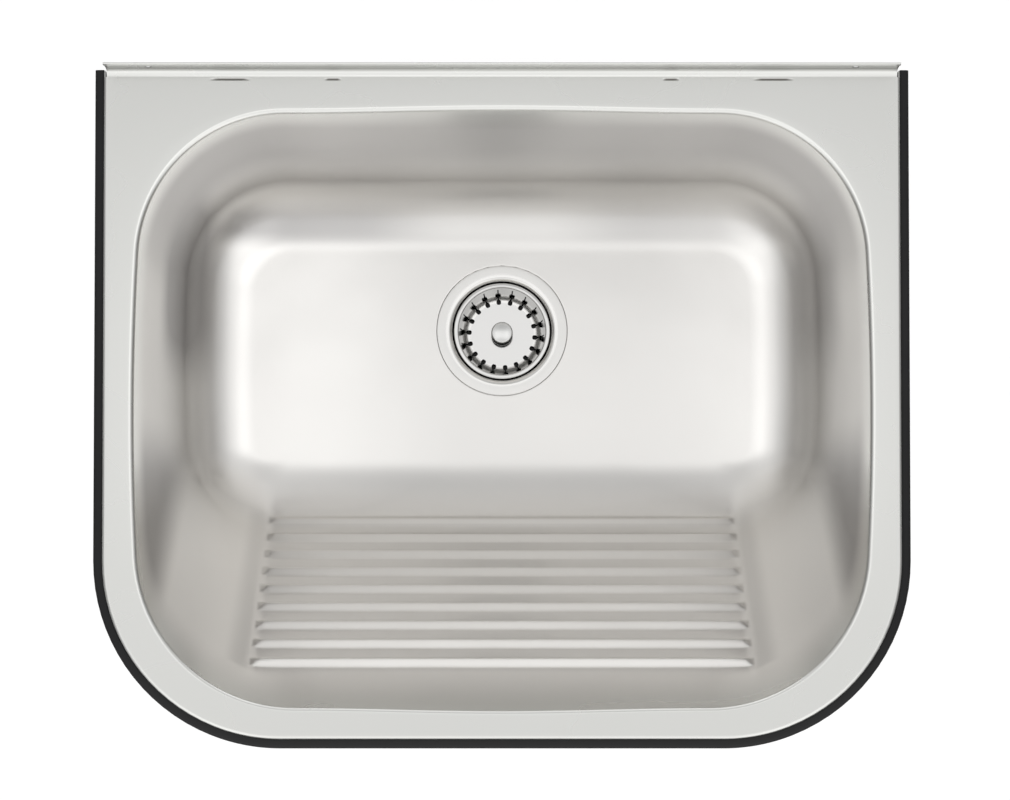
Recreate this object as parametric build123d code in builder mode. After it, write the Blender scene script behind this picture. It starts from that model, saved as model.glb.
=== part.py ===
from build123d import *
import os
from math import asin, cos, degrees, pi, radians, sin, tan

# Wall-mounted utility sink in stainless steel. One deep-drawn pressing makes the flat deck, the
# bowl, the washboard on its sloping front, the turned-down skirt and the upstand that is screwed
# to the wall. A rubber trim closes the skirt's edge, two angle brackets carry the rear of the deck,
# and a basket strainer fills the drain hole.
# Millimetres. X is to the right, Y into the wall and Z up. The origin is on the wall, midway
# between the two screw holes of the upstand. Depths are measured down from the top of the deck.

# Pressing: overall size and sheet
OVERALL_WIDTH = 600.0
OVERALL_REACH = 500.0
SHEET = 0.8
TRIM_OUT = 6.6
HALF_DECK = OVERALL_WIDTH / 2 - TRIM_OUT
DECK_FRONT_Y = TRIM_OUT - OVERALL_REACH
DECK_CORNER_R = 123.0
DECK_EDGE_R = 3.0
SKIRT_DEPTH = 20.0
WALL_GAP = 0.5

# Upstand, its hem and its screw holes
SCREW_ABOVE_DECK = 10.0
SCREW_SPACING = 519.0
SCREW_HOLE_D = 5.5
UPSTAND_HEIGHT = 24.0
UPSTAND_HALF_WIDTH = 291.0
UPSTAND_BEND_R = 5.5
HEM_HEIGHT = 5.0
CORNER_NOTCH_DEPTH = 4.5
DECK_Z = -SCREW_ABOVE_DECK

# Bowl
BOWL_HALF_WIDTH = 270.5
BOWL_REAR_Y = -33.0
BOWL_FRONT_Y = -471.0
BOWL_DEPTH = 264.0
BOWL_DRAFT = 4.0
FRONT_SLOPE = 31.0
MOUTH_CORNER_R = 108.0
FLOOR_CORNER_R = 78.0
SIDE_BOW = 3.0
FLOOR_BEND_R = 52.0
FRONT_BEND_R = 75.0
FRONT_BEND_LAP = 0.05
FRONT_BEND_CUT = 20.0
RIM_R = 4.0
FLOOR_Z = DECK_Z - BOWL_DEPTH

# Washboard: ridges across the sloping front, measured down the slope from the deck's level
RIB_COUNT = 9
RIB_PITCH = 27.9
TOP_RIB = 66.9
RIB_HEIGHT = 3.5
RIB_ABOVE_CREST = 9.1
RIB_BELOW_CREST = 5.9
RIB_CREST_WIDTH = 1.6
RIB_CREST_LENGTH = 372.0
RIB_BASE_LENGTH = 384.0
RIB_ROOT = 2.0

# Drain: heights are measured up from the bowl's floor
DRAIN_Y = -164.5
SEAT_DEPTH = 2.0
SEAT_R = 56.0
SEAT_TAPER = 1.5
DRAIN_HOLE_R = 45.0

# Edge trim
TRIM_TOP_DEPTH = 3.0
TRIM_LIP = 2.0
TRIM_INNER_LEG = 1.6
TRIM_INNER_HEIGHT = 9.0
TRIM_ROUND = 2.6

# Hanger brackets
BRACKET_SHEET = 1.5
BRACKET_LENGTH = 100.0
BRACKET_MIDDLE_X = 168.0
BRACKET_REACH = 26.0
BRACKET_DROP = 52.0
BRACKET_BEND_R = 2.0
BRACKET_CORNER_R = 8.0
BRACKET_SLOT_SPACING = 60.0
BRACKET_SLOT_LENGTH = 14.0
BRACKET_SLOT_WIDTH = 7.0
BRACKET_SLOT_Z = DECK_Z - 36.0

# Strainer body, its seals and its lock nut
FLANGE_R = 53.5
CUP_SHEET = 1.0
LIP_BEND_R = 3.4
CUP_R = 40.7
CUP_FOLD_R = 40.4
CUP_FOLD = -27.0
CUP_FLOOR_R = 34.0
CUP_FLOOR = -40.0
OUTLET_R = 19.0
COLLAR_R = 23.9
COLLAR_END = -62.0
CROSS_TOP = -55.0
CROSS_HEIGHT = 4.0
CROSS_BAR = 3.0
SEAL_THICKNESS = 1.0
GASKET_THICKNESS = 3.0
GASKET_R = 53.0
SLIP_RING_THICKNESS = 1.0
NUT_CLEARANCE = 0.3
LOCK_NUT_HEIGHT = 11.0
LOCK_NUT_FLANGE = 2.5
LOCK_NUT_R = 48.0
LUG_R = 57.0
LUG_WIDTH = 10.0
LUG_COUNT = 6

# Tailpiece and its coupling nut
TAIL_R = 19.05
TAIL_WALL = 1.0
TAIL_LENGTH = 92.0
TAIL_NECK_R = 19.2
TAIL_NECK = 2.6
TAIL_FLANGE_R = 23.4
TAIL_FLANGE = 2.0
OUTLET_GASKET = 2.0
COUPLING_FLATS = 54.0
COUPLING_LIP = 2.0
COUPLING_HEIGHT = 17.0
COUPLING_CHAMFER = 1.0

# Basket, its knob and pin, and the stopper below it
BASKET_SHEET = 0.7
BASKET_RIM_R = 39.6
BASKET_RIM = -3.5
BASKET_LIP = 1.7
BASKET_MOUTH_R = 36.2
BASKET_FLOOR_R = 30.3
BASKET_FLOOR = -33.7
BASKET_BEVEL = 2.4
RIM_BEVEL = 0.5
SLOT_COUNT = 18
SLOT_START = -84.4
SLOT_RING_R = 27.0
SLOT_RUN = 11.0
SLOT_WIDTH = 3.4
SLOT_TOP = -9.5
KNOB_R = 8.8
KNOB_WAIST_R = 8.2
KNOB_HEIGHT = 20.0
KNOB_BAND = 3.0
KNOB_DOME = 0.8
KNOB_EDGE_R = 1.5
PIN_R = 3.0
PIN_IN_KNOB = 12.0
PIN_END = -51.5
PRESSED_GAP = 0.02
RUNNING_GAP = 0.08
FACE_GAP = 0.3
STOPPER_R = 23.5
STOPPER_TOP_R = 20.0
STOPPER_EDGE = 3.0
STOPPER_NOSE_R = 18.2
STOPPER_TIP_R = 15.5
STOPPER_TIP = -44.0
PIN_WASHER_R = 9.0
PIN_WASHER = 1.0
PIN_NUT_FLATS = 10.0
PIN_NUT_HEIGHT = 4.0

SLOPE_PLANE = Plane(
    origin=(0, BOWL_FRONT_Y, DECK_Z),
    x_dir=(1, 0, 0),
    z_dir=(0, cos(radians(FRONT_SLOPE)), sin(radians(FRONT_SLOPE))),
)
DRAIN_PLANE = Plane(origin=(0, DRAIN_Y, FLOOR_Z), x_dir=(1, 0, 0), z_dir=(0, -1, 0))
DRAIN_AXIS = Axis((0, DRAIN_Y, FLOOR_Z), (0, 0, 1))

os.makedirs("parts", exist_ok=True)


def level_face(piece, height):
    """The piece's widest horizontal face at one height."""
    level = [face for face in piece.faces().filter_by(Plane.XY) if abs(face.center().Z - height) < 0.01]
    return max(level, key=lambda face: face.area)


def above_floor(height):
    """Horizontal plane centred on the drain, at a height above the bowl's floor."""
    return Plane(origin=(0, DRAIN_Y, FLOOR_Z + height))


def bowl_section(depth, grow=0.0):
    """Bowl outline at one depth, moved out square to the walls by grow.

    The rear and front are straight. The sides bow outwards by SIDE_BOW degrees at each end, and
    arcs tangent to both close the corners.
    """
    bow = radians(SIDE_BOW)
    draft = radians(BOWL_DRAFT)
    slope = radians(FRONT_SLOPE)
    half_width = BOWL_HALF_WIDTH - depth * tan(draft) + grow / cos(draft)
    rear_y = BOWL_REAR_Y - depth * tan(draft) + grow / cos(draft)
    front_y = BOWL_FRONT_Y + depth * tan(slope) - grow / cos(slope)
    corner_r = MOUTH_CORNER_R + (FLOOR_CORNER_R - MOUTH_CORNER_R) * depth / BOWL_DEPTH + grow
    rear_centre_y = rear_y - corner_r
    front_centre_y = front_y + corner_r
    side_r = corner_r + (rear_centre_y - front_centre_y) / (2 * sin(bow))
    side_x = half_width - side_r
    corner_x = side_x + (side_r - corner_r) * cos(bow)
    middle_y = (rear_centre_y + front_centre_y) / 2
    turn = 90 - SIDE_BOW
    with BuildSketch(Plane.XY.offset(DECK_Z - depth)) as section:
        with BuildLine():
            Line((-corner_x, rear_y), (corner_x, rear_y))
            CenterArc((corner_x, rear_centre_y), corner_r, 90, -turn)
            CenterArc((side_x, middle_y), side_r, SIDE_BOW, -2 * SIDE_BOW)
            CenterArc((corner_x, front_centre_y), corner_r, -SIDE_BOW, -turn)
            Line((corner_x, front_y), (-corner_x, front_y))
            CenterArc((-corner_x, front_centre_y), corner_r, -90, -turn)
            CenterArc((-side_x, middle_y), side_r, 180 + SIDE_BOW, -2 * SIDE_BOW)
            CenterArc((-corner_x, rear_centre_y), corner_r, 180 - SIDE_BOW, -turn)
        make_face()
    return section.sketch


def cut_front_bend(behind=0.0):
    """Widen the bend between slope and floor: cut away what lies outside its arc, moved by behind.

    The arc reaches a hair past the slope and the floor, so that it crosses them cleanly.
    """
    slope = radians(FRONT_SLOPE)
    centre_z = FLOOR_Z + FRONT_BEND_R
    centre_y = BOWL_FRONT_Y + (FRONT_BEND_R - (centre_z - DECK_Z) * sin(slope)) / cos(slope)
    arc_r = FRONT_BEND_R + FRONT_BEND_LAP + behind
    cut_r = arc_r + FRONT_BEND_CUT
    half_turn = (pi / 2 - slope) / 2
    miter_r = cut_r / cos(half_turn)
    on_slope = (-cos(slope), -sin(slope))
    between = (-sin(half_turn), -cos(half_turn))
    with BuildSketch(Plane.YZ) as outside:
        with BuildLine():
            CenterArc((centre_y, centre_z), arc_r, 180 + FRONT_SLOPE, 90 - FRONT_SLOPE)
            Polyline(
                (centre_y, centre_z - arc_r),
                (centre_y, centre_z - cut_r),
                (centre_y + miter_r * between[0], centre_z + miter_r * between[1]),
                (centre_y + cut_r * on_slope[0], centre_z + cut_r * on_slope[1]),
                (centre_y + arc_r * on_slope[0], centre_z + arc_r * on_slope[1]),
            )
        make_face()
    extrude(outside.sketch, amount=BOWL_HALF_WIDTH, both=True, mode=Mode.SUBTRACT)


def cut_ribs(behind=0.0):
    """Cut the washboard ridges out of the part being built, moved behind the slope by behind.

    Each ridge is a hipped prism: a long base under the slope's surface, and a narrow crest.
    """
    spread = 1 + RIB_ROOT / RIB_HEIGHT
    base_length = RIB_CREST_LENGTH + (RIB_BASE_LENGTH - RIB_CREST_LENGTH) * spread
    base_width = RIB_CREST_WIDTH + (RIB_ABOVE_CREST + RIB_BELOW_CREST - RIB_CREST_WIDTH) * spread
    base_shift = (RIB_BELOW_CREST - RIB_ABOVE_CREST) / 2 * spread
    for rib in range(RIB_COUNT):
        crest = TOP_RIB + rib * RIB_PITCH
        with BuildSketch(SLOPE_PLANE.offset(-RIB_ROOT - behind)) as base:
            with Locations((0, crest + base_shift)):
                Rectangle(base_length, base_width)
        with BuildSketch(SLOPE_PLANE.offset(RIB_HEIGHT - behind)) as top:
            with Locations((0, crest)):
                Rectangle(RIB_CREST_LENGTH, RIB_CREST_WIDTH)
        loft([base.sketch, top.sketch], ruled=True, mode=Mode.SUBTRACT)


def turned(*outline, mode=Mode.ADD):
    """Turn a closed outline of (radius, height above the floor) about the drain's axis."""
    with BuildSketch(DRAIN_PLANE) as section:
        with BuildLine():
            Polyline(*outline, close=True)
        make_face()
    revolve(section.sketch, axis=DRAIN_AXIS, mode=mode)


def drawn(centre_line, radii, sheet):
    """Turn a sheet-metal section, given by its centre line and bend radii, about the drain's axis."""
    with BuildSketch(DRAIN_PLANE) as section:
        with BuildLine():
            FilletPolyline(*centre_line, radius=radii)
        trace(line_width=sheet)
    revolve(section.sketch, axis=DRAIN_AXIS)


def ring(inner_r, outer_r, bottom, top):
    """Plain ring round the drain's axis, between two heights above the floor."""
    with BuildSketch(above_floor(bottom)) as section:
        Circle(outer_r)
        Circle(inner_r, mode=Mode.SUBTRACT)
    extrude(section.sketch, amount=top - bottom)


# Space inside the bowl: the walls, the bent floor edge and the washboard ridges that stand in it
with BuildPart() as bowl_space:
    loft([bowl_section(-3 * RIM_R), bowl_section(BOWL_DEPTH)], ruled=True)
    fillet(bowl_space.faces().sort_by(Axis.Z)[0].edges(), FLOOR_BEND_R)
    cut_front_bend()
    cut_ribs()

# Pressing
with BuildPart() as sink_pressing:
    # Deck and skirt, open below and towards the wall
    with BuildSketch(Plane.XY.offset(DECK_Z)) as deck:
        with Locations((0, (DECK_FRONT_Y - WALL_GAP) / 2)):
            Rectangle(2 * HALF_DECK, -DECK_FRONT_Y - WALL_GAP)
        fillet(deck.vertices().group_by(Axis.Y)[0], DECK_CORNER_R)
    extrude(amount=-SKIRT_DEPTH)
    deck_edge = sink_pressing.faces().sort_by(Axis.Z)[-1].edges().sort_by(Axis.Y)[:-1]
    fillet(deck_edge, DECK_EDGE_R)
    bottom_face = sink_pressing.faces().sort_by(Axis.Z)[0]
    wall_face = sink_pressing.faces().sort_by(Axis.Y)[-1]
    offset(amount=-SHEET, openings=[bottom_face, wall_face], kind=Kind.INTERSECTION)
    # The deck's top stops where the upstand's bend begins, which leaves a notch at each end
    bend_start_y = -SHEET - UPSTAND_BEND_R
    with BuildSketch(Plane.XY.offset(DECK_Z + SHEET)):
        with Locations((0, bend_start_y / 2)):
            Rectangle(2 * HALF_DECK + SHEET, -bend_start_y)
    extrude(amount=-CORNER_NOTCH_DEPTH - SHEET, mode=Mode.SUBTRACT)
    # Upstand with its bend below and its hem folded forwards along the top
    bend_z = DECK_Z + UPSTAND_BEND_R
    top_z = DECK_Z + UPSTAND_HEIGHT
    with BuildSketch(Plane.YZ):
        with BuildLine():
            CenterArc((bend_start_y, bend_z), UPSTAND_BEND_R, -90, 90)
            Line((-SHEET, bend_z), (-SHEET, top_z - HEM_HEIGHT))
            Line((-SHEET, top_z - HEM_HEIGHT), (-2 * SHEET, top_z - HEM_HEIGHT))
            Line((-2 * SHEET, top_z - HEM_HEIGHT), (-2 * SHEET, top_z - SHEET))
            CenterArc((-SHEET, top_z - SHEET), SHEET, 180, -180)
            Line((0, top_z - SHEET), (0, bend_z))
            CenterArc((bend_start_y, bend_z), UPSTAND_BEND_R + SHEET, 0, -90)
            Line((bend_start_y, DECK_Z - SHEET), (bend_start_y, DECK_Z))
        make_face()
    extrude(amount=UPSTAND_HALF_WIDTH, both=True)
    with BuildSketch(Plane.XZ):
        with GridLocations(SCREW_SPACING, 0, 2, 1):
            Circle(SCREW_HOLE_D / 2)
    extrude(amount=2 * SHEET, both=True, mode=Mode.SUBTRACT)
    # Outer skin of the bowl, as a solid that hangs from the deck
    loft([bowl_section(SHEET / 2, SHEET), bowl_section(BOWL_DEPTH + SHEET, SHEET)], ruled=True)
    fillet(sink_pressing.faces().sort_by(Axis.Z)[0].edges(), FLOOR_BEND_R + SHEET)
    cut_front_bend(behind=SHEET)
    deck_underside = level_face(sink_pressing, DECK_Z - SHEET)
    fillet(deck_underside.inner_wires()[0].edges(), RIM_R - SHEET)
    cut_ribs(behind=SHEET)
    turned(
        (0, -SEAT_DEPTH - SHEET),
        (SEAT_R - SEAT_TAPER + SHEET, -SEAT_DEPTH - SHEET),
        (SEAT_R + SHEET, -SHEET / 2),
        (0, -SHEET / 2),
    )
    # Inside of the bowl, its rolled rim, and the sunk seat and hole of the drain
    add(bowl_space.part, mode=Mode.SUBTRACT)
    deck_top = level_face(sink_pressing, DECK_Z)
    fillet(deck_top.inner_wires()[0].edges(), RIM_R)
    turned(
        (0, -SEAT_DEPTH),
        (SEAT_R - SEAT_TAPER, -SEAT_DEPTH),
        (SEAT_R, 0),
        (SEAT_R, SHEET),
        (0, SHEET),
        mode=Mode.SUBTRACT,
    )
    with BuildSketch(above_floor(-2 * SEAT_DEPTH)):
        Circle(DRAIN_HOLE_R)
    extrude(amount=2 * SEAT_DEPTH, mode=Mode.SUBTRACT)
sink_pressing.part.label = "sink_pressing"
export_step(sink_pressing.part, "parts/sink_pressing.step")

# Rubber edge trim: a grooved strip pushed up over the skirt, along both sides and the front
with BuildPart() as edge_trim:
    with BuildLine(Plane.XY.offset(DECK_Z)) as skirt_line:
        FilletPolyline(
            (-HALF_DECK, -WALL_GAP),
            (-HALF_DECK, DECK_FRONT_Y),
            (HALF_DECK, DECK_FRONT_Y),
            (HALF_DECK, -WALL_GAP),
            radius=DECK_CORNER_R,
        )
    # In the strip's section, x points out of the skirt and y down it
    strip_plane = Plane(origin=(-HALF_DECK, -WALL_GAP, DECK_Z), x_dir=(-1, 0, 0), z_dir=(0, -1, 0))
    with BuildSketch(strip_plane) as strip:
        with BuildLine():
            Polyline(
                (0, TRIM_TOP_DEPTH),
                (TRIM_OUT, TRIM_TOP_DEPTH),
                (TRIM_OUT, SKIRT_DEPTH + TRIM_LIP),
                (-SHEET - TRIM_INNER_LEG, SKIRT_DEPTH + TRIM_LIP),
                (-SHEET - TRIM_INNER_LEG, SKIRT_DEPTH - TRIM_INNER_HEIGHT),
                (-SHEET, SKIRT_DEPTH - TRIM_INNER_HEIGHT),
                (-SHEET, SKIRT_DEPTH),
                (0, SKIRT_DEPTH),
                close=True,
            )
        make_face()
        fillet(strip.vertices().group_by(Axis.X)[-1], TRIM_ROUND)
    sweep(strip.sketch, path=skirt_line.line)
edge_trim.part.label = "edge_trim"
export_step(edge_trim.part, "parts/edge_trim.step")

# Hanger brackets: angles spot-welded under the rear of the deck, with screw slots down the wall
with BuildPart() as hanger_bracket_left:
    arm_z = DECK_Z - SHEET - BRACKET_SHEET / 2
    with BuildSketch(Plane.YZ.offset(-BRACKET_MIDDLE_X)):
        with BuildLine():
            FilletPolyline(
                (-BRACKET_REACH, arm_z),
                (-BRACKET_SHEET / 2, arm_z),
                (-BRACKET_SHEET / 2, arm_z - BRACKET_DROP),
                radius=BRACKET_BEND_R + BRACKET_SHEET / 2,
            )
        trace(line_width=BRACKET_SHEET)
    extrude(amount=BRACKET_LENGTH / 2, both=True)
    lower_corners = hanger_bracket_left.edges().filter_by(Axis.Y).group_by(Axis.Z)[0]
    front_corners = hanger_bracket_left.edges().filter_by(Axis.Z).group_by(Axis.Y)[0]
    fillet(lower_corners + front_corners, BRACKET_CORNER_R)
    with BuildSketch(Plane.XZ):
        with Locations((-BRACKET_MIDDLE_X, BRACKET_SLOT_Z)):
            with GridLocations(BRACKET_SLOT_SPACING, 0, 2, 1):
                SlotOverall(BRACKET_SLOT_LENGTH, BRACKET_SLOT_WIDTH)
    extrude(amount=2 * BRACKET_SHEET, both=True, mode=Mode.SUBTRACT)
hanger_bracket_left.part.label = "hanger_bracket_left"
export_step(hanger_bracket_left.part, "parts/hanger_bracket_left.step")

with BuildPart() as hanger_bracket_right:
    mirror(hanger_bracket_left.part, about=Plane.YZ)
hanger_bracket_right.part.label = "hanger_bracket_right"
export_step(hanger_bracket_right.part, "parts/hanger_bracket_right.step")

# Strainer body: flange and cup drawn from sheet, with a cast outlet collar and cross below
with BuildPart() as strainer_body:
    half = CUP_SHEET / 2
    drawn(
        [
            (FLANGE_R, -half),
            (CUP_R, -half),
            (CUP_FOLD_R, CUP_FOLD),
            (CUP_FLOOR_R, CUP_FLOOR - half),
            (OUTLET_R + half, CUP_FLOOR - half),
        ],
        [LIP_BEND_R, 5.0, 4.0],
        CUP_SHEET,
    )
    ring(OUTLET_R, COLLAR_R, COLLAR_END, CUP_FLOOR)
    with BuildSketch(above_floor(CROSS_TOP - CROSS_HEIGHT)):
        Rectangle(2 * OUTLET_R + 1, CROSS_BAR)
        Rectangle(CROSS_BAR, 2 * OUTLET_R + 1)
    extrude(amount=CROSS_HEIGHT)
strainer_body.part.label = "strainer_body"
export_step(strainer_body.part, "parts/strainer_body.step")

# Seal between the flange and the bowl
with BuildPart() as flange_seal:
    ring(DRAIN_HOLE_R + NUT_CLEARANCE, GASKET_R, -SEAT_DEPTH, -SEAT_DEPTH + SEAL_THICKNESS)
flange_seal.part.label = "flange_seal"
export_step(flange_seal.part, "parts/flange_seal.step")

# Rubber gasket and slip ring between the bowl's underside and the lock nut
thread_r = CUP_R + CUP_SHEET / 2 + NUT_CLEARANCE
gasket_top = -SEAT_DEPTH - SHEET
slip_top = gasket_top - GASKET_THICKNESS
nut_top = slip_top - SLIP_RING_THICKNESS
with BuildPart() as under_gasket:
    ring(thread_r, GASKET_R, slip_top, gasket_top)
under_gasket.part.label = "under_gasket"
export_step(under_gasket.part, "parts/under_gasket.step")

with BuildPart() as slip_ring:
    ring(thread_r, GASKET_R, nut_top, slip_top)
slip_ring.part.label = "slip_ring"
export_step(slip_ring.part, "parts/slip_ring.step")

# Lock nut: a flanged ring with lugs to tighten it by hand
with BuildPart() as lock_nut:
    ring(thread_r, GASKET_R, nut_top - LOCK_NUT_FLANGE, nut_top)
    ring(thread_r, LOCK_NUT_R, nut_top - LOCK_NUT_HEIGHT, nut_top)
    lug_start_r = LOCK_NUT_R - 1
    with BuildSketch(above_floor(nut_top - LOCK_NUT_HEIGHT)):
        with PolarLocations((lug_start_r + LUG_R) / 2, LUG_COUNT):
            Rectangle(LUG_R - lug_start_r, LUG_WIDTH)
    extrude(amount=LOCK_NUT_HEIGHT)
lock_nut.part.label = "lock_nut"
export_step(lock_nut.part, "parts/lock_nut.step")

# Tailpiece: a flanged tube hung under the collar by its coupling nut, with a flat gasket between
tail_top = COLLAR_END - OUTLET_GASKET
tail_seat = tail_top - TAIL_FLANGE
with BuildPart() as outlet_gasket:
    ring(TAIL_R - TAIL_WALL, TAIL_FLANGE_R, tail_top, COLLAR_END)
outlet_gasket.part.label = "outlet_gasket"
export_step(outlet_gasket.part, "parts/outlet_gasket.step")

with BuildPart() as tailpiece:
    turned(
        (TAIL_R - TAIL_WALL, tail_top - TAIL_LENGTH),
        (TAIL_R, tail_top - TAIL_LENGTH),
        (TAIL_R, tail_seat - TAIL_NECK),
        (TAIL_NECK_R, tail_seat),
        (TAIL_FLANGE_R, tail_seat),
        (TAIL_FLANGE_R, tail_top),
        (TAIL_R - TAIL_WALL, tail_top),
    )
tailpiece.part.label = "tailpiece"
export_step(tailpiece.part, "parts/tailpiece.step")

with BuildPart() as coupling_nut:
    nut_bottom = tail_seat - COUPLING_LIP
    with BuildSketch(above_floor(nut_bottom)):
        RegularPolygon(COUPLING_FLATS / 2, 6, major_radius=False)
    extrude(amount=COUPLING_HEIGHT)
    ends = coupling_nut.faces().filter_by(Plane.XY)
    chamfer(ends.edges(), COUPLING_CHAMFER)
    with BuildSketch(above_floor(nut_bottom)):
        Circle(TAIL_R + NUT_CLEARANCE)
    extrude(amount=COUPLING_LIP, mode=Mode.SUBTRACT)
    with BuildSketch(above_floor(tail_seat)):
        Circle(COLLAR_R + NUT_CLEARANCE)
    extrude(amount=COUPLING_HEIGHT, mode=Mode.SUBTRACT)
coupling_nut.part.label = "coupling_nut"
export_step(coupling_nut.part, "parts/coupling_nut.step")

# Basket: a drawn cup with a turned-down rim and slots that run from the floor up the wall. Its
# bends are bevels here, so that the slots cut plain cones.
with BuildPart() as strainer_basket:
    rim_top = BASKET_RIM + BASKET_SHEET / 2
    rim_inner_r = BASKET_RIM_R - BASKET_SHEET
    mouth_outer_r = BASKET_MOUTH_R + BASKET_SHEET / 2
    floor_outer_r = BASKET_FLOOR_R + BASKET_SHEET / 2
    floor_top = BASKET_FLOOR + BASKET_SHEET / 2
    floor_bottom = BASKET_FLOOR - BASKET_SHEET / 2
    inner_bevel = BASKET_BEVEL - BASKET_SHEET * (1 - tan(radians(45 / 2)))
    turned(
        (PIN_R + PRESSED_GAP, floor_bottom),
        (floor_outer_r - BASKET_BEVEL, floor_bottom),
        (floor_outer_r, floor_bottom + BASKET_BEVEL),
        (mouth_outer_r, rim_top - BASKET_SHEET),
        (rim_inner_r, rim_top - BASKET_SHEET),
        (rim_inner_r, BASKET_RIM - BASKET_LIP),
        (BASKET_RIM_R, BASKET_RIM - BASKET_LIP),
        (BASKET_RIM_R, rim_top - RIM_BEVEL),
        (BASKET_RIM_R - RIM_BEVEL, rim_top),
        (mouth_outer_r - BASKET_SHEET + RIM_BEVEL, rim_top),
        (mouth_outer_r - BASKET_SHEET, rim_top - RIM_BEVEL),
        (floor_outer_r - BASKET_SHEET, floor_top + inner_bevel),
        (floor_outer_r - BASKET_SHEET - inner_bevel, floor_top),
        (PIN_R + PRESSED_GAP, floor_top),
    )
    with BuildSketch(above_floor(BASKET_FLOOR - BASKET_SHEET)):
        with PolarLocations(SLOT_RING_R, SLOT_COUNT, start_angle=SLOT_START):
            Circle(SLOT_WIDTH / 2)
        with PolarLocations(SLOT_RING_R + SLOT_RUN / 2, SLOT_COUNT, start_angle=SLOT_START):
            Rectangle(SLOT_RUN, SLOT_WIDTH)
    extrude(amount=SLOT_TOP - BASKET_FLOOR + BASKET_SHEET, mode=Mode.SUBTRACT)
strainer_basket.part.label = "strainer_basket"
export_step(strainer_basket.part, "parts/strainer_basket.step")

# Knob, turned with a slight waist, a domed top and a blind hole for the pin
knob_foot = BASKET_FLOOR + BASKET_SHEET / 2
knob_top = knob_foot + KNOB_HEIGHT
pin_top = knob_foot + PIN_IN_KNOB
dome_r = (KNOB_R**2 + KNOB_DOME**2) / (2 * KNOB_DOME)
with BuildPart() as basket_knob:
    with BuildSketch(DRAIN_PLANE) as outline:
        with BuildLine():
            Polyline((0, knob_top), (0, knob_foot), (KNOB_R, knob_foot), (KNOB_R, knob_foot + KNOB_BAND))
            ThreePointArc(
                (KNOB_R, knob_foot + KNOB_BAND),
                (KNOB_WAIST_R, knob_foot + KNOB_HEIGHT / 2),
                (KNOB_R, knob_top - KNOB_BAND),
            )
            Line((KNOB_R, knob_top - KNOB_BAND), (KNOB_R, knob_top - KNOB_DOME))
            CenterArc((0, knob_top - dome_r), dome_r, 90, -degrees(asin(KNOB_R / dome_r)))
        make_face()
        fillet(outline.vertices().group_by(Axis.X)[-1].sort_by(Axis.Y)[-1], KNOB_EDGE_R)
    revolve(axis=DRAIN_AXIS)
    with BuildSketch(above_floor(knob_foot)):
        Circle(PIN_R + PRESSED_GAP)
    extrude(amount=PIN_IN_KNOB, mode=Mode.SUBTRACT)
basket_knob.part.label = "basket_knob"
export_step(basket_knob.part, "parts/basket_knob.step")

# Pin through the basket's floor and the stopper, and the nut that keeps it there
washer_top = STOPPER_TIP
pin_nut_top = washer_top - PIN_WASHER - FACE_GAP
with BuildPart() as basket_pin:
    turned((0, PIN_END), (PIN_R - 0.5, PIN_END), (PIN_R, PIN_END + 0.5), (PIN_R, pin_top), (0, pin_top))
basket_pin.part.label = "basket_pin"
export_step(basket_pin.part, "parts/basket_pin.step")

with BuildPart() as pin_nut:
    with BuildSketch(above_floor(pin_nut_top - PIN_NUT_HEIGHT)):
        RegularPolygon(PIN_NUT_FLATS / 2, 6, major_radius=False)
        Circle(PIN_R + PRESSED_GAP, mode=Mode.SUBTRACT)
    extrude(amount=PIN_NUT_HEIGHT)
pin_nut.part.label = "pin_nut"
export_step(pin_nut.part, "parts/pin_nut.step")

# Rubber stopper that closes the outlet, and the washer that holds it up
stopper_top = BASKET_FLOOR - BASKET_SHEET / 2 - FACE_GAP
stopper_face = CUP_FLOOR + FACE_GAP
with BuildPart() as stopper:
    turned(
        (PIN_R + RUNNING_GAP, stopper_top),
        (STOPPER_TOP_R, stopper_top),
        (STOPPER_R, stopper_face + STOPPER_EDGE),
        (STOPPER_R, stopper_face),
        (STOPPER_NOSE_R, stopper_face),
        (STOPPER_TIP_R, STOPPER_TIP),
        (PIN_R + RUNNING_GAP, STOPPER_TIP),
    )
stopper.part.label = "stopper"
export_step(stopper.part, "parts/stopper.step")

with BuildPart() as stopper_washer:
    ring(PIN_R + RUNNING_GAP, PIN_WASHER_R, washer_top - PIN_WASHER, washer_top)
stopper_washer.part.label = "stopper_washer"
export_step(stopper_washer.part, "parts/stopper_washer.step")
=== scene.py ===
import math

import bmesh
import bpy
import numpy as np
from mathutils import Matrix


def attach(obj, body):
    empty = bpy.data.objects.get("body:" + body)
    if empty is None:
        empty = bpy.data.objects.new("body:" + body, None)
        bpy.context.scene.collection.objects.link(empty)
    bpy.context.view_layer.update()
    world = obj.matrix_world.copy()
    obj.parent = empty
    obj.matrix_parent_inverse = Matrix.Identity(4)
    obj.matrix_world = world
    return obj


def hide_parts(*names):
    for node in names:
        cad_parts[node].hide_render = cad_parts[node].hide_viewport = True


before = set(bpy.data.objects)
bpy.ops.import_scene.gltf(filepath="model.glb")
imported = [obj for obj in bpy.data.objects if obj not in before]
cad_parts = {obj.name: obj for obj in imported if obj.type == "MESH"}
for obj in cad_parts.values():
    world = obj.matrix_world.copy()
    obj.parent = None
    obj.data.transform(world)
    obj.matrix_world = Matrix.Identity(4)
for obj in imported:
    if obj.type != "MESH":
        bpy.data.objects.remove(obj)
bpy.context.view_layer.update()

# Pressed tank. One stainless sheet, 0.8 mm thick, drawn into a deep bowl whose sloping front is a
# washboard. The flat deck round the bowl runs into the upstand, the edge bend and the skirt, which
# are made below as parts of the same sheet. Lengths are in millimetres until a mesh is written.
SHEET = 0.8
DECK_Z = -10.0
BOWL_DEPTH = 264.0
FLOOR_Z = DECK_Z - BOWL_DEPTH
DRAIN_Y = -164.5
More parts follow.
